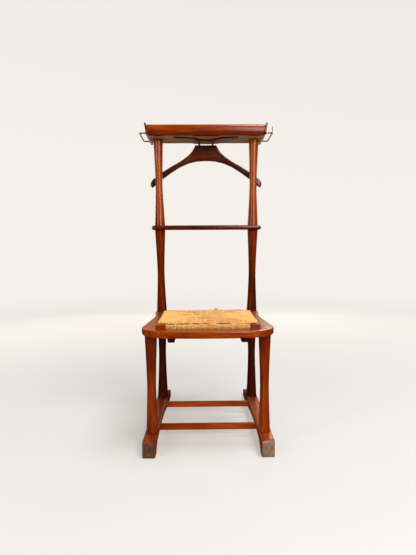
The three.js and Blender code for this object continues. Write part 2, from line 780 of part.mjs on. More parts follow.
// ---------------------------------------------------------------- coat hanger
// Sawn from a thick board and carved: a block at the crown, and two arms that droop and
// come forward behind the posts.
const CROWN = { halfWidth: 42, top: 1042, bottom: 983 };
const armTop = through(
  [
    [CROWN.halfWidth, CROWN.top],
    [46, 1032],
    [57, 1014],
    [72, 1000],
    [98, 981],
    [140, 957],
    [171, 937],
    [206, 911],
  ],
  16,
);
const armBottom = through(
  [
    [208, 878],
    [171, 910],
    [136, 936],
    [102, 958],
    [68, 973],
    [35, 981],
    [0, CROWN.bottom],
  ],
  14,
);
const rightHanger = [...armTop, [214, 902], [217, 892], [214, 881], ...armBottom];
const hangerOutline = closedShape([
  ...rightHanger,
  ...rightHanger
    .slice(0, -1)
    .reverse()
    .map(([x, z]) => [-x, z]),
]);
const HANGER_THICKNESS = 20;
const planCurve = (offset) =>
  through(
    [
      [-230, 158 + offset * 0.75],
      [-150, 163 + offset * 0.85],
      [0, HANGER_Y + offset],
      [150, 163 + offset * 0.85],
      [230, 158 + offset * 0.75],
    ],
    16,
  );
const plan = closedShape([
  ...planCurve(-HANGER_THICKNESS / 2),
  ...planCurve(HANGER_THICKNESS / 2).reverse(),
]);
const hangerBoard = solid(throughPiece(hangerOutline, 100, 220));
const hangerPlan = solid(slab(plan, 800, 1100));
const hangerPegHoles = Object.values(SIDES).map((sign) =>
  socket(sign * PEG.x, PEG.y, CROWN.top - 14, CROWN.top + 4, PEG.radius + GAP),
);
add("coat_hanger", geometryOf(cut(hangerBoard.intersect(hangerPlan), ...hangerPegHoles)), polished);
for (const [side, sign] of Object.entries(SIDES)) {
  const pegEnds = [CROWN.top - 13, YOKE_TOP - 1].map((z) => [sign * PEG.x, PEG.y, z]);
  const peg = rod(...pegEnds, PEG.radius, 16);
  add(`hanger_peg_${side}`, peg, polished);
}

export default stand;
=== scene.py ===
import math
from functools import partial

import bpy
import numpy as np
from mathutils import Matrix, Vector


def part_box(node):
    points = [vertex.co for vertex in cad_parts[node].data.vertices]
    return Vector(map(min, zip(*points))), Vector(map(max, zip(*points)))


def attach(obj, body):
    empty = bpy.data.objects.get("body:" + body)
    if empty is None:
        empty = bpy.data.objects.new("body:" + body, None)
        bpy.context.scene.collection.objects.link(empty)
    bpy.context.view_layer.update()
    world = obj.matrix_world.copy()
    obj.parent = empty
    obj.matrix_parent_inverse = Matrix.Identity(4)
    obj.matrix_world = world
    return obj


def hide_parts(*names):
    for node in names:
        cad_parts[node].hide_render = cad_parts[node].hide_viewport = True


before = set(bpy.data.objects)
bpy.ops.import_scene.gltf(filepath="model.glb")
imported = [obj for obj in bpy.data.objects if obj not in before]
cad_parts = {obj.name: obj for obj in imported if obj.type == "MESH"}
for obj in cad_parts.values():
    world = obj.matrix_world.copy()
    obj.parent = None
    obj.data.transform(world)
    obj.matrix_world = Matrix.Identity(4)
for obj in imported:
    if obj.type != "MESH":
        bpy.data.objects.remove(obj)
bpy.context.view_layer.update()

# ---- Camera, floor and studio light ------------------------------------------------------
# The camera stands 1.3 m in front of the seat, just above the trouser bar, and looks down by
# four degrees. The room is a bowl of pale paper, lit by tall softboxes on both sides and above.
LENS_MM, FILM_MM = 26.854, 36.0
EYE = (-0.0141, -1.4828, 0.6456)
PITCH, YAW, ROLL = 0.073, -0.012, -0.005

camera_data = bpy.data.cameras.new("camera")
camera_data.sensor_width = FILM_MM
camera_data.lens = LENS_MM
camera = bpy.data.objects.new("camera", camera_data)
bpy.context.scene.collection.objects.link(camera)
forward = Vector((-math.sin(YAW) * math.cos(PITCH), math.cos(YAW) * math.cos(PITCH),
                  -math.sin(PITCH)))
level_right = Vector((math.cos(YAW), math.sin(YAW), 0.0))
level_up = level_right.cross(forward)
right = level_right * math.cos(ROLL) + level_up * math.sin(ROLL)
up = level_up * math.cos(ROLL) - level_right * math.sin(ROLL)
turn = Matrix((right, up, -forward)).transposed()
camera.matrix_world = Matrix.Translation(EYE) @ turn.to_4x4()
bpy.context.scene.camera = camera
bpy.context.scene.view_settings.view_transform = "Standard"


def linear(hex_colour):
    """sRGB hex to linear RGBA: each channel c becomes c / 12.92 up to 0.04045, and
    ((c + 0.055) / 1.055)^2.4 above."""
    channels = [int(hex_colour[i:i + 2], 16) / 255 for i in (1, 3, 5)]
    return [c / 12.92 if c <= 0.04045 else ((c + 0.055) / 1.055) ** 2.4 for c in channels] + [1.0]


def node(tree, kind, *inputs, out=0, stops=(), **settings):
    """Adds one shader node and returns one of its outputs. inputs feed its sockets in order, each a
    value or another node's output. A setting with a capital names a socket, _ for a space; i and a
    number is a socket by its place; any other is a property of the node. stops are the (position,
    hex colour) pairs of a colour ramp."""
    made = tree.nodes.new("ShaderNode" + kind)
    fed = list(enumerate(inputs))
    for key, value in settings.items():
        if key[0].isupper():
            fed.append((key.replace("_", " "), value))
        elif key[1:].isdigit():
            fed.append((int(key[1:]), value))
        else:
            setattr(made, key, value)
    for place, value in fed:
        if isinstance(value, bpy.types.NodeSocket):
            tree.links.new(value, made.inputs[place])
        else:
            made.inputs[place].default_value = value
    if stops:
        elements = made.color_ramp.elements
        while len(elements) < len(stops):
            elements.new(0.5)
        for element, (position, colour) in zip(elements, stops):
            element.position, element.color = position, linear(colour)
    return made.outputs[out] if made.outputs else None


def new_material(name):
    """An empty node material, and the call that adds a node to it."""
    material = bpy.data.materials.new(name)
    material.use_nodes = True
    material.node_tree.nodes.clear()
    return material, partial(node, material.node_tree)


def mesh_piece(name, points, faces):
    """A smooth mesh, its object at the origin. Points in millimetres, metres in the mesh."""
    mesh = bpy.data.meshes.new(name)
    mesh.from_pydata((points * 0.001).tolist(), [], faces)
    mesh.polygons.foreach_set("use_smooth", np.ones(len(mesh.polygons), bool))
    mesh.update()
    piece = bpy.data.objects.new(name, mesh)
    bpy.context.scene.collection.objects.link(piece)
    return piece


def surface(name, rings):
    """A closed surface from rings (n, m, 3): quads join ring i to ring i + 1 and wrap round each
    ring, and each end is closed by a fan to its middle."""
    n, m, _ = rings.shape
    points = rings.reshape(-1, 3)
    row, column = np.meshgrid(np.arange(n - 1), np.arange(m), indexing="ij")
    following = (column + 1) % m
    quads = np.stack([row * m + column, row * m + following,
                      (row + 1) * m + following, (row + 1) * m + column], -1).reshape(-1, 4)
    points = np.vstack([points, rings[0].mean(0), rings[-1].mean(0)])
    around = np.arange(m)
    ahead = (around + 1) % m
    first = np.stack([ahead, around, np.full(m, n * m)], -1)
    last = np.stack([(n - 1) * m + around, (n - 1) * m + ahead, np.full(m, n * m + 1)], -1)
    return mesh_piece(name, points, quads.tolist() + first.tolist() + last.tolist())


def round_circle(count):
    """Angles spaced evenly once round a circle."""
    return np.linspace(0, 2 * math.pi, count, endpoint=False)


# The paper bowl: a level floor turns up on a wide radius into a wall and closes overhead, turned
# about the stand's axis. It glows a little, the wall, which the lamps hardly reach, more than the
# floor: rise is 1 - (h^2 / (h^2 + r^2))^2, the light that a lamp h above the middle loses at
# distance r. Reflections and bounced light pass through the bowl to the dim room.
FLOOR_REACH, BOWL_TURN, WALL_TOP, BOWL_SIDES = 3400.0, 1600.0, 7000.0, 72
angle = np.linspace(0, math.pi / 2, 20)
floor_r = [20, 400, 800, 1200, 1600, 2000, 2500, 3000]
turn_r = FLOOR_REACH + BOWL_TURN * np.sin(angle)
profile_r = np.concatenate([floor_r, turn_r, [FLOOR_REACH + BOWL_TURN]])
profile_z = np.concatenate([np.zeros(len(floor_r)), BOWL_TURN * (1 - np.cos(angle)), [WALL_TOP]])
about = round_circle(BOWL_SIDES)
backdrop = surface("backdrop_bowl", np.stack([
    profile_r[:, None] * np.sin(about), profile_r[:, None] * np.cos(about),
    np.broadcast_to(profile_z[:, None], (len(profile_z), BOWL_SIDES))], -1))


def set_attribute(piece, name, values):
    """A number for each vertex that a material can read."""
    made = piece.data.attributes.new(name, "FLOAT", "POINT")
    made.data.foreach_set("value", np.asarray(values, np.float32))


LAMP_HEIGHT = 3500.0
risen = np.repeat(1 - (LAMP_HEIGHT ** 2 / (LAMP_HEIGHT ** 2 + profile_r ** 2)) ** 2, BOWL_SIDES)
set_attribute(backdrop, "rise", np.append(risen, [0, 1]))
paper, add = new_material("background_paper")
lift = add("Attribute", out="Fac", attribute_name="rise")
shade = add("BsdfPrincipled", linear("#A3A5A7"), Roughness=0.95, Specular_IOR_Level=0.0,
            Emission_Color=linear("#F2EDE7"),
            Emission_Strength=add("MapRange", lift, 0, 0.8, 0.44, 0.90))
add("OutputMaterial", shade)
backdrop.data.materials.append(paper)
backdrop.visible_glossy = False
backdrop.visible_diffuse = False
backdrop.visible_shadow = False

world = bpy.data.worlds.new("studio")
bpy.context.scene.world = world
world.use_nodes = True
sky = world.node_tree.nodes["Background"]
sky.inputs["Color"].default_value = linear("#FFFAF4")
# The room is darker to mirror rays, so that dark wood stays dark where it shines.
add = partial(node, world.node_tree)
mirrored = add("LightPath", out="Is Glossy Ray")
world.node_tree.links.new(add("MapRange", mirrored, 0, 1, 0.08, 0.015), sky.inputs["Strength"])


def softbox(name, place, target, size, power, colour="#FFFFFF"):
    """A rectangular area light that looks at a point."""
    light = bpy.data.lights.new(name, "AREA")
    light.shape = "RECTANGLE"
    light.size, light.size_y = size
    light.energy = power
    light.color = linear(colour)[:3]
    lamp = bpy.data.objects.new(name, light)
    bpy.context.scene.collection.objects.link(lamp)
    lamp.location = place
    lamp.visible_camera = False
    lamp.rotation_euler = (Vector(target) - Vector(place)).to_track_quat("-Z", "Y").to_euler()
    return lamp


softbox("key_right", (1.05, -2.4, 1.75), (0, 0, 0.6), (1.5, 1.8), 66, "#FFF2E4")
softbox("fill_left", (-1.9, -1.8, 1.5), (0, 0, 0.6), (0.4, 1.6), 24, "#FFF6EC")
softbox("overhead", (0.8, -0.6, 2.8), (0, 0, 0.4), (1.1, 1.1), 52)
softbox("back_fill", (0.9, 2.4, 1.8), (0, 0, 0.8), (0.8, 1.4), 17, "#FFF6EC")
softbox("back_wall", (0, 2.6, 1.4), (0, 0, 1.2), (2.6, 1.2), 9, "#FFC08C")
softbox("back_low", (0, 2.6, 0.4), (0, 0, 0.9), (2.4, 0.5), 4, "#FFE8D0")
softbox("back_left", (-1.5, 1.9, 1.4), (0, 0, 0.6), (0.5, 1.4), 11, "#FFF6EC")
floor_bounce = softbox("floor_bounce", (0, -0.5, 0.02), (0, -0.3, 1.0), (1.3, 1.2), 5.5, "#FFF0E0")
floor_bounce.visible_glossy = False

# ---- Sled runners --------------------------------------------------------------------------
# Two beech runners, sawn from 60 mm stock and moulded by spindle. The toe and the heel stand
# on the floor; between them the underside is a long arch. Both toes are worn bare by shoes.
RUNNER_WIDTH, RUNNER_TOP, RUNNER_X = 40.0, 54.0, 180.5
RUNNER_SPREAD = math.radians(0.7)
TOE_Y, HEEL_Y, HEEL_HEIGHT = -257.0, 280.0, 30.0
RUNNER_END_EASE, RUNNER_EDGE = 3.0, 3.5
UNDERSIDE = ([TOE_Y, -227, -215, -188, -130, -50, 40, 110, 170, 222, HEEL_Y],
             [0, 0, 14, 26, 31, 33, 26, 15, 6, 0, 0])
TOP_SIDE = ([TOE_Y, TOE_Y + 2, TOE_Y + 8, 165, 215, HEEL_Y - 4, HEEL_Y],
            [RUNNER_TOP - 5, RUNNER_TOP - 2, RUNNER_TOP, RUNNER_TOP, 45,
             HEEL_HEIGHT, HEEL_HEIGHT - 2])


def smooth_through(x, knots_x, knots_y, soften):
    """Straight lines through knots, then a moving average of half-width soften for round turns."""
    offsets = np.linspace(-soften, soften, 9)
    return np.mean([np.interp(x + o, knots_x, knots_y) for o in offsets], 0)


def rounded_section(a_low, a_high, b_low, b_high, radius, per_corner=6, per_side=3):
    """A rounded rectangle for each station: corners are quarter circles of the given radius, kept
    below half of each side; the sides between them are straight. Returns (stations, points, 2)."""
    a_low, a_high, b_low, b_high, radius = np.broadcast_arrays(
        *[np.atleast_1d(np.asarray(v, float)) for v in (a_low, a_high, b_low, b_high, radius)])
    r = np.minimum(radius, 0.49 * np.minimum(a_high - a_low, b_high - b_low))
    quarter = np.linspace(0, math.pi / 2, per_corner)
    loops = []
    for k, (a, b, sa, sb) in enumerate([(a_high, b_low, 1, -1), (a_high, b_high, 1, 1),
                                        (a_low, b_high, -1, 1), (a_low, b_low, -1, -1)]):
        t = quarter + (k - 1) * math.pi / 2
        loops.append(np.stack([(a - sa * r)[:, None] + r[:, None] * np.cos(t),
                               (b - sb * r)[:, None] + r[:, None] * np.sin(t)], -1))
    filled = []
    share = np.linspace(0, 1, per_side + 2)[1:-1]
    for k in range(4):
        filled.append(loops[k])
        end, start = loops[k][:, -1:], loops[(k + 1) % 4][:, :1]
        filled.append(end + (start - end) * share[None, :, None])
    return np.concatenate(filled, 1)


def finish_piece(piece, material, *nodes, slot="polished_wood", body="stand"):
    """Gives a finished piece its material and its body, and hides the CAD nodes it shows. slot is
    not used.
    """
    piece.data.materials.append(material)
    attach(piece, body)
    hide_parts(*nodes)
    return piece


TINT = {"data_type": "RGBA", "blend_type": "MULTIPLY", "out": 2}
BLEND = {"data_type": "RGBA", "out": 2}


def stained_beech(name, grain, seed=0.0, tone=0.0, coat=0.6, worn=None, painted_light_up=None):
    """Beech stained red-brown under satin varnish. Long soft streaks 3 to 8 mm wide run along the
    grain, with short darker rays; the coat gives a clear highlight over a warm base. worn is the
    dark, middle and pale colour of the wood laid bare where the attribute "bare" is 1.
    painted_light_up is (low, high, gain): the tone gained between two heights in metres, painted
    light that stands in for the lamps lighting the upper part more."""
    material, add = new_material(name)
    where = add("TexCoord", out="Object")
    long_way = add("Mapping", where, (seed, seed * 0.7, seed * 1.3),
                   Scale=[0.045 if axis == grain else 1 for axis in "XYZ"])
    short_way = add("Mapping", where, (seed, seed, seed),
                    Scale=[0.12 if axis == grain else 1 for axis in "XYZ"])
    # Scales count to a metre: streaks about 5 mm wide, bands 28 mm, rays 1 mm, clouds 140 mm.
    streak = add("TexNoise", long_way, Scale=190.0, Detail=5.0, Roughness=0.62, Distortion=0.35)
    band = add("TexNoise", long_way, Scale=36.0, Detail=2.0)
    ray = add("TexNoise", short_way, Scale=900.0, Detail=1.0)
    cloud = add("TexNoise", where, Scale=7.0, Detail=2.0)
    streaky = add("MapRange", streak, 0.3, 0.7, 0.02 + tone, 0.34 + tone)
    depth = add("Math", band, 0.55, streaky, operation="MULTIPLY_ADD")
    depth = add("Math", depth, add("MapRange", cloud, 0.3, 0.7, -0.08, 0.08))
    # Painted light: the tone grows between the two heights, paler upwards where the lamps reach
    # more.
    if painted_light_up:
        low, high, gain = painted_light_up
        height = add("SeparateXYZ", where, out="Z")
        depth = add("Math", depth, add("MapRange", height, low, high, 0, gain))
    stain = add("ValToRGB", depth,
                stops=[(0.10, "#350900"), (0.38, "#6E2200"), (0.60, "#8F3A01"), (0.85, "#B05E14")])
    colour = add("Mix", add("MapRange", ray, 0.60, 0.72, 0.0, 0.45),
                 i6=stain, i7=linear("#7A4020"), **TINT)
    rough = add("MapRange", cloud, 0.35, 0.65, 0.42, 0.54)
    if worn:
        # The bare patch has an edge ragged by 7 mm and end grain pressed into upright lines.
        bare = add("Attribute", out="Fac", attribute_name="bare")
        ragged = add("TexNoise", where, Scale=140.0, Detail=4.0)
        edge = add("Math", bare, add("MapRange", ragged, 0.3, 0.7, -0.16, 0.16))
        mask = add("MapRange", edge, 0.42, 0.58, 0.0, 1.0)
        pressed = add("Mapping", where, Scale=(1, 1, 0.12))
        end_grain = add("TexNoise", pressed, Scale=420.0, Detail=4.0)
        grey = add("ValToRGB", end_grain, stops=list(zip((0.28, 0.5, 0.70), worn)))
        colour = add("Mix", mask, i6=colour, i7=grey, **BLEND)
        rough = add("Mix", mask, i2=rough, i3=0.82)
    lift = add("Bump", Strength=0.10, Distance=0.0004, Height=streak)
    shade = add("BsdfPrincipled", colour, Roughness=rough, IOR=1.45, Normal=lift,
                Specular_IOR_Level=0.2, Specular_Tint=linear("#FFB070"), Coat_Weight=coat,
                Coat_Roughness=0.15)
    add("OutputMaterial", shade)
    return material


def eased_stations(low, high, ease, count):
    """Stations from low to high, closer together near both ends, and how far a section shrinks at
    each to round the ends: ease - sqrt(ease^2 - (ease - d)^2), d the distance to the nearer end."""
    lead = ease * (1 - np.cos(np.linspace(0, math.pi / 2, 6)))
    middle = np.linspace(low + ease, high - ease, count)[1:-1]
    stations = np.concatenate([low + lead, middle, (high - lead)[::-1]])
    d = np.minimum(np.minimum(stations - low, high - stations), ease)
    return stations, ease - np.sqrt(np.maximum(ease ** 2 - (ease - d) ** 2, 0))


TOE_SHIFT = 3.0
SIDES = (("left", -1), ("right", 1))
BARE_TOES = {"left": ("#2A1B12", "#4E3526", "#6B4F3D"),
             "right": ("#4A3A32", "#735E51", "#917B6D")}
for side, sign in SIDES:
    runner_finish = stained_beech(f"stained_beech_runner_{side}", "Y", seed=0.4 * sign,
                                  coat=0.3, worn=BARE_TOES[side])
    y, inset = eased_stations(TOE_Y, HEEL_Y, RUNNER_END_EASE, 120)
    low = smooth_through(y, *UNDERSIDE, 5.0) + inset
    high = smooth_through(y, *TOP_SIDE, 2.0) - inset
    half = RUNNER_WIDTH / 2 - inset
    section = rounded_section(-half, half, low, high, RUNNER_EDGE)
    across, height = section[..., 0], section[..., 1]
    along = np.broadcast_to(y[:, None], across.shape)
    tilt = sign * RUNNER_SPREAD
    rings = np.stack([sign * RUNNER_X + across * math.cos(tilt) - along * math.sin(tilt),
                      across * math.sin(tilt) + along * math.cos(tilt), height], -1)
    runner = surface(f"runner_{side}_moulded", rings[:, ::-1])
    # The bare patch covers the toe's front face, short of its sides and its top edge.
    points = np.zeros(len(runner.data.vertices) * 3)
    runner.data.vertices.foreach_get("co", points)
    x, y, z = points.reshape(-1, 3).T * 1000
    near_face = np.clip((TOE_Y + 9 - y) / 8, 0, 1)
    inside = 1 - np.clip((np.abs(x - sign * (RUNNER_X + TOE_SHIFT)) - 17.0) / 3, 0, 1)
    below_top = 1 - np.clip((z - 49) / 5, 0, 1)
    set_attribute(runner, "bare", near_face * inside * below_top)
    finish_piece(runner, runner_finish, f"runner_{side}")

# ---- Shoe bars -----------------------------------------------------------------------------
# Two flat beech bars tenoned into the runners, so that shoes can stand across them.
SHOE_BAR_BOTTOM, SHOE_BAR_TOP, SHOE_BAR_HALF = 27.0, 48.0, 6.0


def swept(stations, section, axis):
    """Rings that carry a section (n, m, 2) square along one axis, each at its own station."""
    return np.insert(section, axis, np.broadcast_to(stations[:, None], section.shape[:2]), axis=-1)


bar_finish = stained_beech("stained_beech_shoe_bar", "X", seed=3.1, tone=0.04)
for place in ("front", "rear"):
    low_corner, high_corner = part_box(f"shoe_bar_{place}")
    middle_y = (low_corner.y + high_corner.y) * 500
    reach = high_corner.x * 1000
    x, _ = eased_stations(-reach, reach, 1.0, 30)
    section = rounded_section(np.full_like(x, middle_y - SHOE_BAR_HALF), middle_y + SHOE_BAR_HALF,
                              SHOE_BAR_BOTTOM, SHOE_BAR_TOP, 2.5)
    shoe_bar = surface(f"shoe_bar_{place}_planed", swept(x, section, 0))
    finish_piece(shoe_bar, bar_finish, f"shoe_bar_{place}")

# ---- Turned legs ---------------------------------------------------------------------------
# Four beech legs turned on a lathe to a waist, thick at the runner and at the seat frame.
AROUND = 48
PLATE_BOTTOM, PLATE_TOP = 376.0, 396.0
FRONT_LEG, REAR_LEG = (180.0, -190.0), (176.0, 130.0)
FRONT_TURNING = ([RUNNER_TOP, 205, PLATE_BOTTOM], [18.6, 14.0, 20.0])
REAR_TURNING = ([RUNNER_TOP, 228, PLATE_BOTTOM], [20.0, 13.6, 20.0])


def turned_radius(z, heights, radii):
    """From each waist to the next swell the radius grows with the distance to the power 1.35; the
    ridge at a swell is then eased over 8 mm."""
    offsets = np.linspace(-8, 8, 9)
    total = np.zeros_like(z)
    for offset in offsets:
        here = np.clip(z + offset, heights[0], heights[-1])
        i = np.clip(np.searchsorted(heights, here, side="right") - 1, 0, len(heights) - 2)
        z0, z1 = np.take(heights, i), np.take(heights, i + 1)
        r0, r1 = np.take(radii, i), np.take(radii, i + 1)
        t = (here - z0) / (z1 - z0)
        total += np.where(r0 < r1, r0 + (r1 - r0) * t ** 1.35, r1 + (r0 - r1) * (1 - t) ** 1.35)
    return total / len(offsets)


def turned_rings(low, high, turning, count, ease=2.0):
    """A turning on the Z axis: circles of the turned radius, eased at both ends."""
    z, inset = eased_stations(low, high, ease, count)
    radius = turned_radius(z, *turning) - inset
    angle = round_circle(AROUND)
    return np.stack([radius[:, None] * np.cos(angle), radius[:, None] * np.sin(angle),
                     np.broadcast_to(z[:, None], (len(z), AROUND))], -1)


LEGS = (("front", FRONT_LEG, FRONT_TURNING), ("rear", REAR_LEG, REAR_TURNING))
# The rear legs are stained darker than the front ones: painted shade, for their place back under
# the seat frame.
leg_finishes = {"front": stained_beech("stained_beech_front_leg", "Z", seed=5.7, tone=-0.06),
                "rear": stained_beech("stained_beech_rear_leg_shaded", "Z", seed=6.6, tone=-0.34)}
for side, sign in SIDES:
    for which, (x, y), turning in LEGS:
        rings = turned_rings(RUNNER_TOP, PLATE_BOTTOM, turning, 70) + np.array([sign * x, y, 0.0])
        leg = surface(f"{which}_leg_{side}_turned", rings)
        finish_piece(leg, leg_finishes[which], f"{which}_leg_{side}")

# ---- Seat frame ----------------------------------------------------------------------------
# Four flat beech members, 20 mm thick, tenoned round a rectangular well. The outer edge is
# rounded over and polished. The posts and legs are let into its corners.
WELL_HALF, WELL_FRONT, WELL_BACK = 163.0, -229.0, 55.0
OUTLINE = np.array([(0, -280), (80, -277), (150, -267), (190, -238), (206.5, -200), (205, -160),
                    (197, -80), (190, 0), (192, 60), (199, 110), (197, 142), (180, 156),
                    (150, 157), (0, 157)], float)
EDGE_ROUND, EDGE_STEPS, DEEPEST_ROUND = 3.0, 7, 9
JOINT = 0.15


def outline_curve(count):
    """Catmull-Rom curve through the outline's points: each span blends its four nearest points."""
    ends = np.vstack([[-80, -277], OUTLINE, OUTLINE[-1] - [150, 0]])
    spans = len(OUTLINE) - 1
    s = np.linspace(0, spans - 1e-6, count)
    i = s.astype(int)
    t = (s - i)[:, None]
    p0, p1, p2, p3 = ends[i], ends[i + 1], ends[i + 2], ends[i + 3]
    return 0.5 * (2 * p1 + (p2 - p0) * t + (2 * p0 - 5 * p1 + 4 * p2 - p3) * t ** 2
                  + (3 * p1 - p0 - 3 * p2 + p3) * t ** 3)


curve = outline_curve(1200)
widest = int(np.argmax(curve[:700, 0]))
front_part = curve[:widest + 1]
back_peak = int(np.argmax(np.where(curve[:, 1] > 60, curve[:, 0], -1)))
back_low, back_high = curve[widest:back_peak + 1], curve[back_peak:]


def member(name, across_low, across_high, along, swap, rounds):
    """One flat member: at each station a section from across_low to across_high, PLATE_BOTTOM to
    PLATE_TOP. swap puts the stations on Y instead of X. rounds are the radii of its two long edges,
    each a quarter circle at top and bottom."""
    quarter = np.linspace(0, math.pi / 2, EDGE_STEPS)
    width = np.maximum(across_high - across_low, 0.05)
    r_low = np.minimum(rounds[0], width * 0.45)[:, None]
    r_high = np.minimum(rounds[1], width * 0.45)[:, None]
    lo, hi = across_low[:, None], across_high[:, None]
    s, c = np.sin(quarter), np.cos(quarter)
    a = np.concatenate([hi - r_high + r_high * s, hi - r_high + r_high * c,
                        lo + r_low - r_low * s, lo + r_low - r_low * c], 1)
    h_high, h_low = np.minimum(r_high, DEEPEST_ROUND), np.minimum(r_low, DEEPEST_ROUND)
    b = np.concatenate([PLATE_BOTTOM + h_high - h_high * c, PLATE_TOP - h_high + h_high * s,
                        PLATE_TOP - h_low + h_low * c, PLATE_BOTTOM + h_low - h_low * s], 1)
    station = np.broadcast_to(along[:, None], a.shape)
    rings = np.stack([a, station, b] if swap else [station, a, b], -1)
    if swap:
        rings = rings[:, ::-1]
    made = surface(name, rings)
    made.data.set_sharp_from_angle(angle=math.radians(38))
    return made


frame_finish_across = stained_beech("stained_beech_frame_across", "X", seed=8.2, tone=0.02)
frame_finish_deep = stained_beech("stained_beech_frame_deep", "Y", seed=11.4, tone=0.02)

front_reach = float(np.interp(WELL_FRONT, front_part[:, 1], front_part[:, 0]))
x = front_reach * np.sin(np.linspace(-math.pi / 2, math.pi / 2, 160))
edge = np.interp(np.abs(x), front_part[:, 0], front_part[:, 1])
front_member = member("seat_frame_front_shaped", edge, np.full_like(x, WELL_FRONT - JOINT), x,
                      False, (EDGE_ROUND, 1.0))
finish_piece(front_member, frame_finish_across, "seat_frame_front")

back_reach = float(curve[back_peak, 0]) - 0.05
x = back_reach * np.sin(np.linspace(-math.pi / 2, math.pi / 2, 160))
low_side = back_low[back_low[:, 1] > -20]
turn_at = int(np.argmin(low_side[:, 0]))
flare = low_side[turn_at:]
near = np.where(np.abs(x) < np.interp(WELL_BACK, flare[:, 1], flare[:, 0]), WELL_BACK,
                np.interp(np.abs(x), flare[:, 0], flare[:, 1]))
far = np.interp(-np.abs(x), -back_high[:, 0], back_high[:, 1])
back_member = member("seat_frame_back_shaped", np.maximum(near, WELL_BACK) + JOINT, far, x, False,
                     (1.0, EDGE_ROUND))
finish_piece(back_member, frame_finish_across, "seat_frame_back")

y = np.linspace(WELL_FRONT + JOINT, WELL_BACK - JOINT, 90)
outer = np.interp(y, curve[:1000, 1], curve[:1000, 0])
for side, sign in SIDES:
    inner_edge = np.full_like(y, WELL_HALF)
    if sign > 0:
        side_member = member(f"seat_frame_{side}_shaped", inner_edge, outer, y, True,
                             (1.0, EDGE_ROUND))
    else:
        side_member = member(f"seat_frame_{side}_shaped", -outer, -inner_edge, y, True,
                             (EDGE_ROUND, 1.0))
    finish_piece(side_member, frame_finish_deep, f"seat_frame_{side}")

# ---- Bearers -------------------------------------------------------------------------------
# Two beech bearers screwed under the seat frame carry the drop-in seat. Each is planed to a
# trapezoid, so it looks narrow from below, and is coloured nearly black: painted shade, for the
# dark under the seat frame where it sits.


def repaint(name, material):
    """A CAD node that is shown as it is takes a finer material."""
    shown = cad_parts[name]
    shown.data.materials.clear()
    shown.data.materials.append(material)


bearer_shaded_finish = stained_beech("stained_beech_bearer_shaded", "Y", seed=14.3, tone=-0.5)
for side in ("left", "right"):
    repaint(f"seat_bearer_{side}", bearer_shaded_finish)


def dull_metal(name, colour, dark, roughness, scratch_mm):
    """Metal with a handled surface: cloudy tarnish over fine scratches scratch_mm apart. Its IOR is
    the default one."""
    material, add = new_material(name)
    where = add("TexCoord", out="Object")
    cloud = add("TexNoise", where, Scale=1000 / 12, Detail=4.0)
    scratch = add("TexNoise", where, Scale=1000 / scratch_mm, Detail=3.0)
    tarnish = add("ValToRGB", cloud, stops=[(0.38, dark), (0.62, colour)])
    shade = add("BsdfPrincipled", tarnish, Metallic=1.0,
                Roughness=add("MapRange", cloud, 0.35, 0.65, roughness + 0.12, roughness),
                Normal=add("Bump", Strength=0.2, Distance=0.0001, Height=scratch))
    add("OutputMaterial", shade)
    return material


# Countersunk steel screws, dulled by age, hold the bearers.
CORNERS = ("front_left", "front_right", "back_left", "back_right")
screw_finish = dull_metal("dulled_steel", "#8C8880", "#5A554E", 0.38, 1.2)
for place in CORNERS:
    repaint(f"bearer_screw_{place}", screw_finish)

# ---- Back posts ----------------------------------------------------------------------------
# Two turned beech posts stand on the rear legs and lean out by 6 mm towards the tray. Each has
# a waist above the seat, a swell where the trouser bar crosses and a second waist above it.
POST_BASE, POST_TOP = 396.3, 1055.7
POST_SPREAD = 6.0
POST_TURNING = ([POST_BASE, 548, 720, 885, POST_TOP], [19.3, 13.4, 20.2, 13.4, 19.0])
# The posts take a dark stain that grows paler upwards: painted light, the upper part lit more than
# the lower.
post_finish = stained_beech("stained_beech_post", "Z", seed=17.9, tone=-0.26,
                            painted_light_up=(0.50, 0.85, 0.42))
for side, sign in SIDES:
    rings = turned_rings(POST_BASE, POST_TOP, POST_TURNING, 130, 1.2)
    lean = POST_SPREAD * (rings[..., 2] - POST_BASE) / (POST_TOP - POST_BASE)
    axis = np.stack([sign * (REAR_LEG[0] + lean), np.full_like(lean, REAR_LEG[1]), 0 * lean], -1)
    post = surface(f"back_post_{side}_turned", rings + axis)
    finish_piece(post, post_finish, f"back_post_{side}")

# ---- Trouser bar ---------------------------------------------------------------------------
# A beech rod with rounded ends, pegged to the fronts of the posts by two plain dowels.
bar_low, bar_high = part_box("trouser_bar")
bar_middle = (bar_low + bar_high) * 500
BAR_RADIUS, BAR_END_ROUND = 8.8, 7.0


def rod_rings(low, high, radius, ease, count, around):
    """Circles of one radius along an axis, eased at both ends; returns stations, cosines, sines."""
    t, inset = eased_stations(low, high, ease, count)
    r = (radius - inset)[:, None]
    angle = round_circle(around)
    return np.broadcast_to(t[:, None], (len(t), around)), r * np.cos(angle), r * np.sin(angle)


bar_finish_long = stained_beech("stained_beech_trouser_bar", "X", seed=21.2, tone=-0.2)
along, c, s = rod_rings(bar_low.x * 1000, bar_high.x * 1000, BAR_RADIUS, BAR_END_ROUND, 40, 32)
bar_rings = np.stack([along, bar_middle.y + c, bar_middle.z + s], -1)
trouser_bar = surface("trouser_bar_turned", bar_rings)
finish_piece(trouser_bar, bar_finish_long, "trouser_bar")


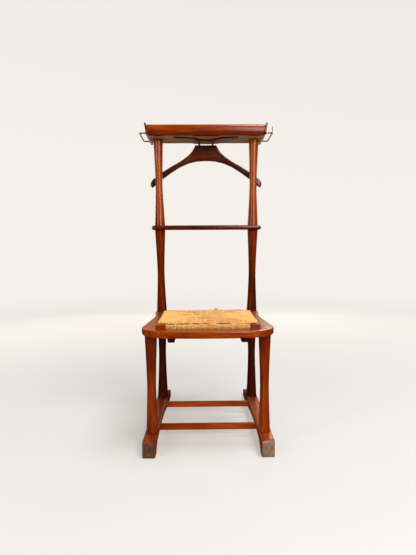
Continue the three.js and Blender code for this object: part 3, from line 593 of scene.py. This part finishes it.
def bare_wood(name, grain, light, dark):
    """Unfinished wood: pale, dry and matt, with lines 4 mm apart and fine pores along the grain."""
    material, add = new_material(name)
    where = add("TexCoord", out="Object")
    drawn = add("Mapping", where, Scale=[0.05 if axis == grain else 1 for axis in "XYZ"])
    lines = add("TexNoise", drawn, Scale=1000 / 4.0, Detail=6.0, Roughness=0.65)
    pores = add("TexNoise", drawn, Scale=1000 / 0.8, Detail=2.0)
    plain = add("ValToRGB", lines, stops=[(0.34, dark), (0.64, light)])
    pored = add("Mix", add("MapRange", pores, 0.58, 0.68, 0, 0.4),
                i6=plain, i7=linear("#6B5038"), **TINT)
    shade = add("BsdfPrincipled", pored, Roughness=0.78, IOR=1.45,
                Normal=add("Bump", Strength=0.3, Distance=0.0003, Height=lines))
    add("OutputMaterial", shade)
    return material


plain_across = bare_wood("plain_beech_across", "X", "#C79E73", "#94714C")
plain_deep = bare_wood("plain_beech_deep", "Y", "#C79E73", "#94714C")
for side in ("left", "right"):
    repaint(f"bar_dowel_{side}", plain_deep)

# ---- Tray ----------------------------------------------------------------------------------
# A shallow tray: a thin plywood panel, a tall half-round rail in front, a low lip behind, and
# two thin end boards that flare outwards and sweep up to a tip at each end.
FLARE_Z = [1055, 1068, 1082, 1100]
FLARE_INNER = [211.0, 211.5, 214.5, 220.0]
FLARE_OUTER = [220.5, 221.0, 223.0, 226.0]
GLUE = 0.3
tray_finish = stained_beech("stained_beech_tray", "X", seed=24.6, tone=-0.05)
panel_finish = bare_wood("tray_plywood", "X", "#D6A97E", "#A07850")
repaint("tray_base", panel_finish)


def cross_piece(name, profile, count):
    """A bar of one profile (y, z) between the end boards: at share s of the half-length each of
    its points is at x = s times the flare's inner face at that height."""
    s, _ = eased_stations(-1.0, 1.0, 0.004, count)
    reach = np.interp(profile[:, 1], FLARE_Z, FLARE_INNER) - GLUE
    rings = np.stack([s[:, None] * reach, np.broadcast_to(profile[:, 0], (len(s), len(profile))),
                      np.broadcast_to(profile[:, 1], (len(s), len(profile)))], -1)
    made = surface(name, rings)
    made.data.set_sharp_from_angle(angle=math.radians(40))
    return made


rail_low, rail_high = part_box("tray_front_rail")
RAIL_FRONT, RAIL_BACK, RAIL_TOP = rail_low.y * 1000, rail_high.y * 1000, rail_high.z * 1000
RAIL_BOTTOM = rail_low.z * 1000
half_turn = np.linspace(-math.pi / 2, math.pi / 2, 28)
half_height = (RAIL_TOP - RAIL_BOTTOM) / 2
face = np.stack([RAIL_FRONT + 9 - 9 * np.cos(half_turn),
                 RAIL_BOTTOM + half_height + half_height * np.sin(half_turn)], -1)
corner = np.linspace(math.pi / 2, 0, 6)
back = np.stack([RAIL_BACK - 3 + 3 * np.cos(corner), RAIL_TOP - 3 + 3 * np.sin(corner)], -1)
flat_back = [[RAIL_BACK, RAIL_BOTTOM + 15], [RAIL_BACK, RAIL_BOTTOM]]
rail_profile = np.concatenate([face, back, flat_back])
front_rail = cross_piece("tray_front_rail_moulded", rail_profile[::-1], 40)
finish_piece(front_rail, tray_finish, "tray_front_rail")

lip_low, lip_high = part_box("tray_back_lip")
lip_profile = rounded_section(lip_low.y * 1000, lip_high.y * 1000,
                              lip_low.z * 1000, lip_high.z * 1000, 2.0)[0]
back_lip = cross_piece("tray_back_lip_planed", lip_profile, 40)
finish_piece(back_lip, tray_finish, "tray_back_lip")

END_TOP = ([54, 54.4, 57, 60, 78, 110, 150, 180, 210, 222, 228, 233, 237, 240],
           [1062, 1068, 1097, 1097.4, 1091, 1087, 1086, 1087.2, 1091, 1094.3, 1096, 1092,
            1086, 1073])
END_BOTTOM = ([54, 58, 62, 218, 226, 232, 237, 240],
              [1062, 1057, 1056, 1056, 1057.4, 1060, 1065, 1071])
end_finish = stained_beech("stained_beech_tray_end", "Y", seed=27.1, tone=-0.25)
END_FRONT, END_BACK, EDGE_SOFT = 54.02, 239.98, 2.2
for side, sign in SIDES:
    y, _ = eased_stations(END_FRONT, END_BACK, 8.0, 60)
    low, high = np.interp(y, *END_BOTTOM), np.interp(y, *END_TOP)
    t = 0.5 - 0.5 * np.cos(np.linspace(0, math.pi, 26))
    z = low[:, None] + (high - low)[:, None] * t
    depth = np.minimum(z - low[:, None], high[:, None] - z)
    narrow = np.sqrt(np.clip(1 - (1 - np.clip(depth / EDGE_SOFT, 0, 1)) ** 2, 0, 1))
    tips = np.clip((y - 53) / 3, 0.3, 1) * np.clip((241 - y) / 3, 0.3, 1)
    narrow = narrow * np.sqrt(tips)[:, None]
    inner, outer = np.interp(z, FLARE_Z, FLARE_INNER), np.interp(z, FLARE_Z, FLARE_OUTER)
    middle, half = (inner + outer) / 2, (outer - inner) / 2 * narrow
    loop_x = np.concatenate([middle - half, (middle + half)[:, ::-1][:, 1:-1]], 1)
    loop_z = np.concatenate([z, z[:, ::-1][:, 1:-1]], 1)
    rings = np.stack([sign * loop_x, np.broadcast_to(y[:, None], loop_x.shape), loop_z], -1)
    end_board = surface(f"tray_end_{side}_shaped", rings if sign > 0 else rings[:, ::-1])
    finish_piece(end_board, end_finish, f"tray_end_{side}")

# ---- Tie rails and tray screws -------------------------------------------------------------
# A brass wire, 5 mm thick, bent to a long U and set into each end board. The right one has a
# thin keeper that stands up at its front corner. Two brass screws hold the tray to the posts.
WIRE_RADIUS, WIRE_REACH, WIRE_FRONT, WIRE_BACK, WIRE_Z = 2.5, 242.0, 58.0, 176.0, 1060.0
WIRE_ROOT, WIRE_BEND = 214.0, 6.0
brass_finish = dull_metal("worn_brass", "#B07A40", "#4A2A12", 0.34, 0.8)


def tube(name, path, radius, around=12, up=(0.0, 0.0, 1.0)):
    """A tube along a path (n, 3): each ring lies across the path's direction, its first axis the
    direction crossed with up. radius may be one number or one for each point."""
    path = np.asarray(path, float)
    way = np.gradient(path, axis=0)
    way /= np.linalg.norm(way, axis=1, keepdims=True)
    first = np.cross(way, np.asarray(up, float))
    first /= np.linalg.norm(first, axis=1, keepdims=True)
    second = np.cross(way, first)
    angle = round_circle(around)
    r = np.broadcast_to(np.asarray(radius, float), (len(path),))[:, None, None]
    return surface(name, path[:, None] + r * (first[:, None] * np.cos(angle)[None, :, None]
                                              + second[:, None] * np.sin(angle)[None, :, None]))


def level(xs, ys):
    """Points in the wire's plane."""
    return np.stack(np.broadcast_arrays(xs, ys, WIRE_Z), -1)


def bend(middle_x, middle_y, start, stop):
    """A quarter circle of the wire's bend radius about a point, in the wire's plane."""
    a = np.linspace(start, stop, 8)
    return level(middle_x + WIRE_BEND * np.cos(a), middle_y + WIRE_BEND * np.sin(a))


for side, sign in SIDES:
    straight = np.linspace(WIRE_ROOT, WIRE_REACH - WIRE_BEND - 1, 6)
    outer_run = np.linspace(WIRE_FRONT + WIRE_BEND + 1, WIRE_BACK - WIRE_BEND - 1, 14)
    path = np.concatenate([
        level(straight, WIRE_FRONT),
        bend(WIRE_REACH - WIRE_BEND, WIRE_FRONT + WIRE_BEND, -math.pi / 2, 0),
        level(WIRE_REACH, outer_run),
        bend(WIRE_REACH - WIRE_BEND, WIRE_BACK - WIRE_BEND, 0, math.pi / 2),
        level(straight[::-1], WIRE_BACK)])
    wire = tube(f"tie_rail_{side}_wire", path * [sign, 1, 1], WIRE_RADIUS)
    finish_piece(wire, brass_finish, f"tie_rail_{side}", slot="brass")
share = np.linspace(0, 1, 12)
keeper_path = np.stack([241.5 + 1.6 * share, 61 - 2 * share, WIRE_Z - 1 + 25 * share], -1)
keeper_radius = 1.3 * np.sqrt(np.clip((1.02 - share) * 8, 0, 1))
keeper = tube("tie_rail_keeper", keeper_path, keeper_radius, up=(1, 0, 0))
finish_piece(keeper, brass_finish, "tie_rail_right", slot="brass")
for side in ("left", "right"):
    repaint(f"tray_screw_{side}", brass_finish)

# ---- Hanger yoke, pegs and coat hanger -----------------------------------------------------
# A flat beech crescent screwed under the tray. Two dowels, left pale, hang the coat hanger from
# it. The hanger is sawn from 20 mm board and carved: a block at the crown and two drooping arms.
yoke_finish = stained_beech("stained_beech_yoke", "X", seed=31.0, tone=-0.12, coat=0.1)
repaint("hanger_yoke", yoke_finish)
peg_finish = stained_beech("stained_beech_peg", "Z", seed=32.5, tone=0.4)
for side in ("left", "right"):
    repaint(f"yoke_screw_{side}", screw_finish)
    peg_low, peg_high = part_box(f"hanger_peg_{side}")
    peg_middle = (peg_low + peg_high) * 500
    along, c, s = rod_rings(peg_low.z * 1000, peg_high.z * 1000, 4.0, 0.6, 10, 24)
    peg_rings = np.stack([peg_middle.x + c, peg_middle.y + s, along], -1)
    peg = surface(f"hanger_peg_{side}_turned", peg_rings)
    finish_piece(peg, peg_finish, f"hanger_peg_{side}")

HANGER_TOP = ([0, 39.5, 41.4, 42.2, 46, 57, 72, 98, 140, 171, 206, 212, 215.5, 217],
              [1042, 1042, 1041.4, 1039.5, 1032, 1014, 1000, 981, 957, 937, 911, 905, 898, 892])
HANGER_BOTTOM = ([0, 35, 68, 102, 136, 171, 190, 208, 212, 215.5, 217],
                 [983, 981, 973, 958, 936, 910, 894, 878, 879, 884, 892])
HANGER_PLAN = ([0, 60, 150, 230], [170, 169, 163, 158])
HANGER_HALF = ([0, 150, 230], [10, 8.5, 7.5])
HANGER_EDGE, BLOCK_CORNER = 5.0, 41.4
hanger_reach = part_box("coat_hanger")[1].x * 1000


def hanger_line(knots, x):
    """An outline through its knots: straight pieces averaged over 5 mm, so that it flows."""
    offsets = np.linspace(-5, 5, 11)
    spread = np.clip((hanger_reach - np.abs(x)) / 12, 0, 1)
    spread = spread * np.clip(np.abs(np.abs(x) - BLOCK_CORNER) / 8, 0.06, 1)
    return np.mean([np.interp(np.abs(x + o * spread), *knots) for o in offsets], 0)


x = hanger_reach * 0.9999 * np.sin(np.linspace(-1, 1, 260) * math.pi / 2)
x = np.unique(np.concatenate([x, np.linspace(39, 44, 11), -np.linspace(39, 44, 11)]))
low, high = hanger_line(HANGER_BOTTOM, x), hanger_line(HANGER_TOP, x)
half = np.interp(np.abs(x), *HANGER_HALF)
shrink = np.sqrt(np.clip(1 - (np.abs(x) / hanger_reach) ** 40, 0.02, 1))
plan = np.interp(np.abs(x), *HANGER_PLAN)
section = rounded_section(plan - half * shrink, plan + half * shrink,
                          low, np.maximum(high, low + 0.4), HANGER_EDGE, 7, 4)
coat_hanger = surface("coat_hanger_carved", swept(x, section, 0))
# The hanger's stain is darkened: painted shade, for the tray's shadow over it.
hanger_shaded_finish = stained_beech("stained_beech_hanger_shaded", "X", seed=34.8, tone=-0.32)
finish_piece(coat_hanger, hanger_shaded_finish, "coat_hanger")

# ---- Drop-in seat: corner blocks and rails -------------------------------------------------
# A loose beech frame that rests on the bearers: four corner blocks, stained like the stand, and
# four plain rails between them. The rails are hidden inside the rush.
BLOCK_EASE, BLOCK_EDGE = 2.5, 3.5
block_finish = stained_beech("stained_beech_corner_block", "X", seed=38.4, tone=0.0)
for place in CORNERS:
    low_corner, high_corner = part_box(f"seat_corner_{place}")
    x0, y0, z0 = (v * 1000 for v in low_corner)
    x1, y1, z1 = (v * 1000 for v in high_corner)
    z, inset = eased_stations(z0, z1, BLOCK_EASE, 12)
    section = rounded_section(x0 + inset, x1 - inset, y0 + inset, y1 - inset, BLOCK_EDGE)
    block = surface(f"seat_corner_{place}_block", swept(z, section, 2))
    finish_piece(block, block_finish, f"seat_corner_{place}", body="drop_in_seat")
for place in ("left", "right"):
    repaint(f"seat_rail_{place}", plain_deep)
for place in ("front", "back"):
    repaint(f"seat_rail_{place}", plain_across)

# ---- Rush seat -----------------------------------------------------------------------------
# Twisted rush cord, about 4 mm thick, wound over the four rails in the four-part pattern: the
# cords of each part run square to their rail and meet the next part's on a line from the corner.
# Front and back meet along a short seam in the middle. Card stuffing fills the space inside.
RUSH_LOW, RUSH_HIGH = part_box("rush_seat")
RUSH_X, RUSH_TOP, RUSH_BOTTOM = RUSH_HIGH.x * 1000, RUSH_HIGH.z * 1000, RUSH_LOW.z * 1000
RUSH_FRONT, RUSH_REAR = RUSH_LOW.y * 1000, RUSH_HIGH.y * 1000
IN_SEAT = {"slot": "rush", "body": "drop_in_seat"}
CORD, TWIST_MM = 2.15, 11
RAIL_ROUND, CREASE_IN, CREASE_DOWN, BROKEN_SINK = 4.5, 3.4, 2.0, 2.0
CORNER_X, CORNER_Y = 130.3, 31.3
MIDDLE_Y = (RUSH_FRONT + RUSH_REAR) / 2
HALF_X, HALF_Y = CORNER_X, (RUSH_REAR - RUSH_FRONT) / 2 - CORNER_Y
random = np.random.default_rng(7)
CREASE_DIPS = [(-141, -128), (-113, -101), (-89, -58), (-46, -27), (-12, -3), (31, 65), (120, 131)]
# Places where leaves have broken and the cords gape and sink, darkened as painted shade inside the
# gap: from x to x, y, and half the width in y.
GAPS = [(-77, -36, -66, 7.0), (39, 63, -86, 8.0), (-15, 14, -140, 6.0)]
# The dips in the front crease are darkened the same way: painted shade in the crease.
GAPS += [(start + 2, stop - 2, RUSH_FRONT + 6, 2.6) for start, stop in CREASE_DIPS]
# Below this height the outer faces of the rush are darkened: painted shade where the rush meets the
# frame's well.
SHADED_BELOW = 401.5


def sunk_and_shaded_share(points):
    """How far the rush sinks and how dark it is painted, 0 to 1: in a gap 1.5 less the distance
    from its middle line, counted in half widths across and in 7 mm along; and up to 0.6 low on the
    outer
    faces. The darkening is painted shade: inside the gaps, in the dips of the front crease and low
    on the faces where the rush meets the frame."""
    share = 0.6 * np.clip((SHADED_BELOW - points[..., 2]) / 5, 0, 1)
    on_top = points[..., 2] > RUSH_TOP - 9
    for start, stop, y, half in GAPS:
        beyond = np.maximum(np.maximum(start - points[..., 0], points[..., 0] - stop), 0) / 7
        near = 1.5 - np.hypot(beyond, (points[..., 1] - y) / half)
        share = np.maximum(share, on_top * np.clip(near, 0, 1))
    return share


def cord_mesh(name, out, up_way, side_way, place):
    """Twisted cords from their paths, each array (cords, points): hexagons of about the cord's
    radius, square to the path in the plane of out and up. place gives (out, along, up) as XYZ."""
    count, n = out.shape
    # worn is how far each cord sinks in a gap and how much painted shade it is given.
    worn = sunk_and_shaded_share(place(out, side_way, up_way)) * random.uniform(0.3, 1.2, (count, 1))
    worn = np.clip(worn, 0, 1)
    up_way = up_way - BROKEN_SINK * worn * (up_way > RUSH_TOP - 9)
    path = np.stack([out, up_way], -1)
    way = np.gradient(path, axis=1)
    way /= np.linalg.norm(way, axis=2, keepdims=True)
    across = np.stack([way[..., 1], -way[..., 0]], -1)
    sides = 6
    angle = round_circle(sides)
    thick = CORD * random.normal(1.0, 0.06, (count, 1, 1))
    thick = thick * (1 + random.normal(0, 0.03, out.shape))[..., None]
    plane = path[:, :, None] + across[:, :, None] * (thick * np.cos(angle))[..., None]
    sideways = side_way[..., None] + thick * np.sin(angle)
    points = place(plane[..., 0], sideways, plane[..., 1])
    ring, spoke = np.meshgrid(np.arange(n - 1), np.arange(sides), indexing="ij")
    ahead = (spoke + 1) % sides
    quad = np.stack([ring * sides + spoke, ring * sides + ahead,
                     (ring + 1) * sides + ahead, (ring + 1) * sides + spoke], -1).reshape(-1, 4)
    first = np.arange(count)[:, None, None] * (n * sides)
    faces = (quad[None] + first).reshape(-1, 4).tolist()
    hexagon = np.arange(sides)
    ends = np.concatenate([hexagon[::-1][None], (n - 1) * sides + hexagon[None]])
    faces += (ends[None] + first).reshape(-1, sides).tolist()
    piece = mesh_piece(name, points.reshape(-1, 3), faces)
    steps = np.linalg.norm(np.diff(path, axis=1), axis=2)
    run = np.concatenate([np.zeros((count, 1)), np.cumsum(steps, 1)], 1)
    set_attribute(piece, "run", np.repeat(run.reshape(-1), sides))
    set_attribute(piece, "twist", np.tile(angle, count * n))
    set_attribute(piece, "cord", np.repeat(random.random(count), n * sides))
    set_attribute(piece, "worn", np.repeat(worn.reshape(-1), sides))
    return piece


def winding_paths(offsets, lengths, edge, dips=()):
    """Paths of the cords that wrap a rail, in the plane across it: from the meeting line under the
    seat, round the rail's outer face, back on top to the meeting line, where each dives. offsets
    are their places along the rail, lengths the way from the outer face to the meeting line, edge
    that face's distance from the middle. Between the ends of a dip the cords sink at the crease."""
    count = len(offsets)
    top = RUSH_TOP - CORD - 0.4
    bottom = RUSH_BOTTOM + CORD
    share = np.concatenate([[1.0, 0.985], np.linspace(0.95, 0.035, 36)])
    share_low = np.array([0.035, 0.10, 0.25, 0.5, 0.8, 0.93, 0.985, 1.0])
    turn = np.array([0.0, 0.5, 1.0]) * math.pi / 2
    each = np.zeros((count, 1))
    sag = random.normal(0, 0.13, (count, 1))
    high = top + 0.4 - 1.6 * (1 - share) ** 6 + sag
    high[:, :2] -= [6.5, 1.4]
    low = np.full((count, len(share_low)), bottom)
    low[:, -2:] += [1.4, 6.5]
    corner_out = -(CORD + RAIL_ROUND) + RAIL_ROUND * np.sin(turn) + each
    corner_high = top - 1.2 - RAIL_ROUND * (1 - np.cos(turn)) + sag
    for start, stop in dips:
        dipped = (offsets > start) & (offsets < stop)
        corner_out[dipped, :2] -= CREASE_IN
        corner_high[dipped, :2] -= CREASE_DOWN
    face_high = np.linspace(top - RAIL_ROUND - 2.5, bottom + RAIL_ROUND + 1, 9)
    lower_out = -(CORD + RAIL_ROUND) + RAIL_ROUND * np.cos(turn) + each
    lower_high = bottom + RAIL_ROUND * (1 - np.sin(turn)) + each
    out = np.concatenate([-lengths[:, None] * share, corner_out, np.full((count, 9), -CORD),
                          lower_out, -lengths[:, None] * share_low], 1)
    up_way = np.concatenate([high, corner_high, face_high + each, lower_high, low], 1)
    wander = np.cumsum(random.normal(0, 0.035, out.shape), 1)
    side_way = offsets[:, None] + random.normal(0, 0.12, (count, 1))
    side_way = side_way + wander - wander.mean(1, keepdims=True)
    return edge + out, up_way, side_way


def rush_cord(name):
    """Twisted rush: each cord has its own straw colour, from pale gold to dull brown. The twist is
    a spiral of leaf edges, one turn in 11 mm, darkened on one side as painted shade in the groove
    between leaves; short dark flecks are where a leaf has split."""
    material, add = new_material(name)
    run, twist, cord, worn = (add("Attribute", out="Fac", attribute_name=read)
                              for read in ("run", "twist", "cord", "worn"))
    where = add("TexCoord", out="Object")
    turns = add("Math", run, 2 * math.pi / TWIST_MM, twist, operation="MULTIPLY_ADD")
    spiral = add("Math", turns, operation="SINE")
    patch = add("TexNoise", where, Scale=1000 / 40, Detail=3.0)
    fibre = add("TexNoise", where, Scale=1000 / 2.2, Detail=4.0)
    tone = add("Math", cord, 0.35, add("MapRange", patch, 0.3, 0.7, 0.12, 0.5),
               operation="MULTIPLY_ADD")
    straw = add("ValToRGB", tone,
                stops=[(0.08, "#C8924E"), (0.40, "#E6B065"), (0.65, "#F0BE76"), (0.92, "#DCA860")])
    # The dark half of each turn is painted shade in the groove between leaves.
    groove_shaded = add("Mix", add("MapRange", spiral, -1, -0.2, 0.38, 0),
                i6=straw, i7=linear("#9A6A36"), **TINT)
    flecked = add("Mix", add("MapRange", fibre, 0.56, 0.68, 0, 0.6),
                  i6=groove_shaded, i7=linear("#7A5024"), **TINT)
    # worn darkens the cords towards #43220A: painted shade in the gaps, in the crease dips and low
    # on the faces by the frame.
    ragged = add("Math", worn, add("MapRange", fibre, 0.4, 0.6, 0.75, 1.0),
                 operation="MULTIPLY")
    gap_shaded = add("Mix", ragged, i6=flecked, i7=linear("#43220A"), **BLEND)
    height = add("Math", spiral, 0.5, fibre, operation="MULTIPLY_ADD")
    shade = add("BsdfPrincipled", gap_shaded, Roughness=0.62, IOR=1.45, Specular_IOR_Level=0.25,
                Normal=add("Bump", Strength=0.5, Distance=0.0006, Height=height))
    add("OutputMaterial", shade)
    return material


rush_finish = rush_cord("twisted_rush")
PITCH_MM = 4.06
half_count = int(HALF_X / PITCH_MM)
front_offsets = (np.arange(-half_count, half_count + 1)) * (HALF_X - CORD) / half_count
front_lengths = np.minimum(HALF_X - np.abs(front_offsets) + CORNER_Y, HALF_Y + CORNER_Y - 0.6)
side_half = int(HALF_Y / PITCH_MM)
side_offsets = (np.arange(-side_half, side_half) + 0.5) * (HALF_Y - CORD) / (side_half - 0.5)
side_lengths = HALF_Y - np.abs(side_offsets) + CORNER_Y - 1.0


def facing(out_x, out_y):
    """Turns (out, along, up) of the seat side that faces (out_x, out_y) into X, Y and Z; along runs
    a quarter turn anticlockwise from out."""
    return lambda out, along, up_way: np.stack(
        [out_x * out - out_y * along, MIDDLE_Y + out_y * out + out_x * along, up_way], -1)


SEAT_SIDES = {"front": (front_offsets, front_lengths, MIDDLE_Y - RUSH_FRONT, facing(0, -1)),
              "back": (front_offsets, front_lengths, RUSH_REAR - MIDDLE_Y, facing(0, 1)),
              "left": (side_offsets, side_lengths, RUSH_X, facing(-1, 0)),
              "right": (side_offsets, side_lengths, RUSH_X, facing(1, 0))}
for place, (offsets, lengths, edge, put) in SEAT_SIDES.items():
    paths = winding_paths(offsets, lengths, edge, CREASE_DIPS if place == "front" else ())
    winding = cord_mesh(f"rush_{place}", *paths, put)
    finish_piece(winding, rush_finish, "rush_seat", **IN_SEAT)

# At each corner the last cords slip off their rail and lie over the block.
for side, sign in SIDES:
    for end, toward, reach in (("front", -1, 5), ("back", 1, 2)):
        place = HALF_Y + PITCH_MM * (np.arange(reach) + 0.45)
        share = np.array([0.0, 0.06, 0.2, 0.5, 0.8, 0.97, 1.0])
        outer = RUSH_X - 3.0 - 1.6 * np.arange(reach)[:, None] ** 0.5
        out = outer - (outer - CORNER_X + 2) * share
        drop = np.array([2.0, 0.5, 0.0, 0.0, 0.0, 0.6, 3.0])
        up_way = RUSH_TOP - CORD - 0.3 - drop + random.normal(0, 0.12, (reach, 1))
        side_way = sign * toward * (place[:, None] + random.normal(0, 0.15, out.shape))
        lapped = cord_mesh(f"rush_lap_{end}_{side}", out, up_way, side_way, facing(sign, 0))
        finish_piece(lapped, rush_finish, "rush_seat", **IN_SEAT)

# The stuffing is brown card between the rails, seen only where two cords part.
card, add = new_material("brown_card")
where = add("TexCoord", out="Object")
mottle = add("TexNoise", where, Scale=1000 / 3.0, Detail=4.0)
fibreboard = add("ValToRGB", mottle, stops=[(0.35, "#5A3A18"), (0.65, "#946832")])
add("OutputMaterial", add("BsdfPrincipled", fibreboard, Roughness=0.95))
z, inset = eased_stations(RUSH_BOTTOM + 6.5, RUSH_TOP - 5.2, 4.0, 8)
section = rounded_section(-CORNER_X + 8 + inset, CORNER_X - 8 - inset,
                          MIDDLE_Y - HALF_Y + 6 + inset, MIDDLE_Y + HALF_Y - 6 - inset, 6.0)
stuffing = surface("seat_stuffing", swept(z, section, 2))
finish_piece(stuffing, card, "rush_seat", **IN_SEAT)

# A loop of the same cord stands up at the back of the seat, to lift it by.
loop_low, loop_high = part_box("lifting_loop")
LOOP_X, LOOP_Y = (loop_low.x + loop_high.x) * 500, (loop_low.y + loop_high.y) * 500
a = np.linspace(-0.12, math.pi + 0.12, 30)
LOOP_CORD, LOOP_HALF = 4.0, 4.8
LOOP_RISE = loop_high.z * 1000 - RUSH_TOP + 2 - LOOP_CORD - 2.0
loop_path = np.stack([LOOP_X + LOOP_HALF * np.cos(a), LOOP_Y + 0.8 * np.sin(3 * a),
                      RUSH_TOP - 2 + LOOP_RISE * np.sin(a)], -1)
LOOP_STEPS, LOOP_AROUND, LOOP_RUN = len(a), 10, 44
loop_radius = LOOP_CORD * (1 + 0.06 * np.sin(a * 9))
lifting_loop = tube("lifting_loop_cord", loop_path, loop_radius, LOOP_AROUND, up=(0, 1, 0))
along = np.repeat(np.linspace(0, LOOP_RUN, LOOP_STEPS), LOOP_AROUND)
around = np.tile(round_circle(LOOP_AROUND), LOOP_STEPS)
set_attribute(lifting_loop, "run", np.append(along, [0, LOOP_RUN]))
set_attribute(lifting_loop, "twist", np.append(around, [0, 0]))
set_attribute(lifting_loop, "cord", np.full(len(along) + 2, 0.2))
set_attribute(lifting_loop, "worn", np.full(len(along) + 2, 0.08))
finish_piece(lifting_loop, rush_finish, "lifting_loop", **IN_SEAT)
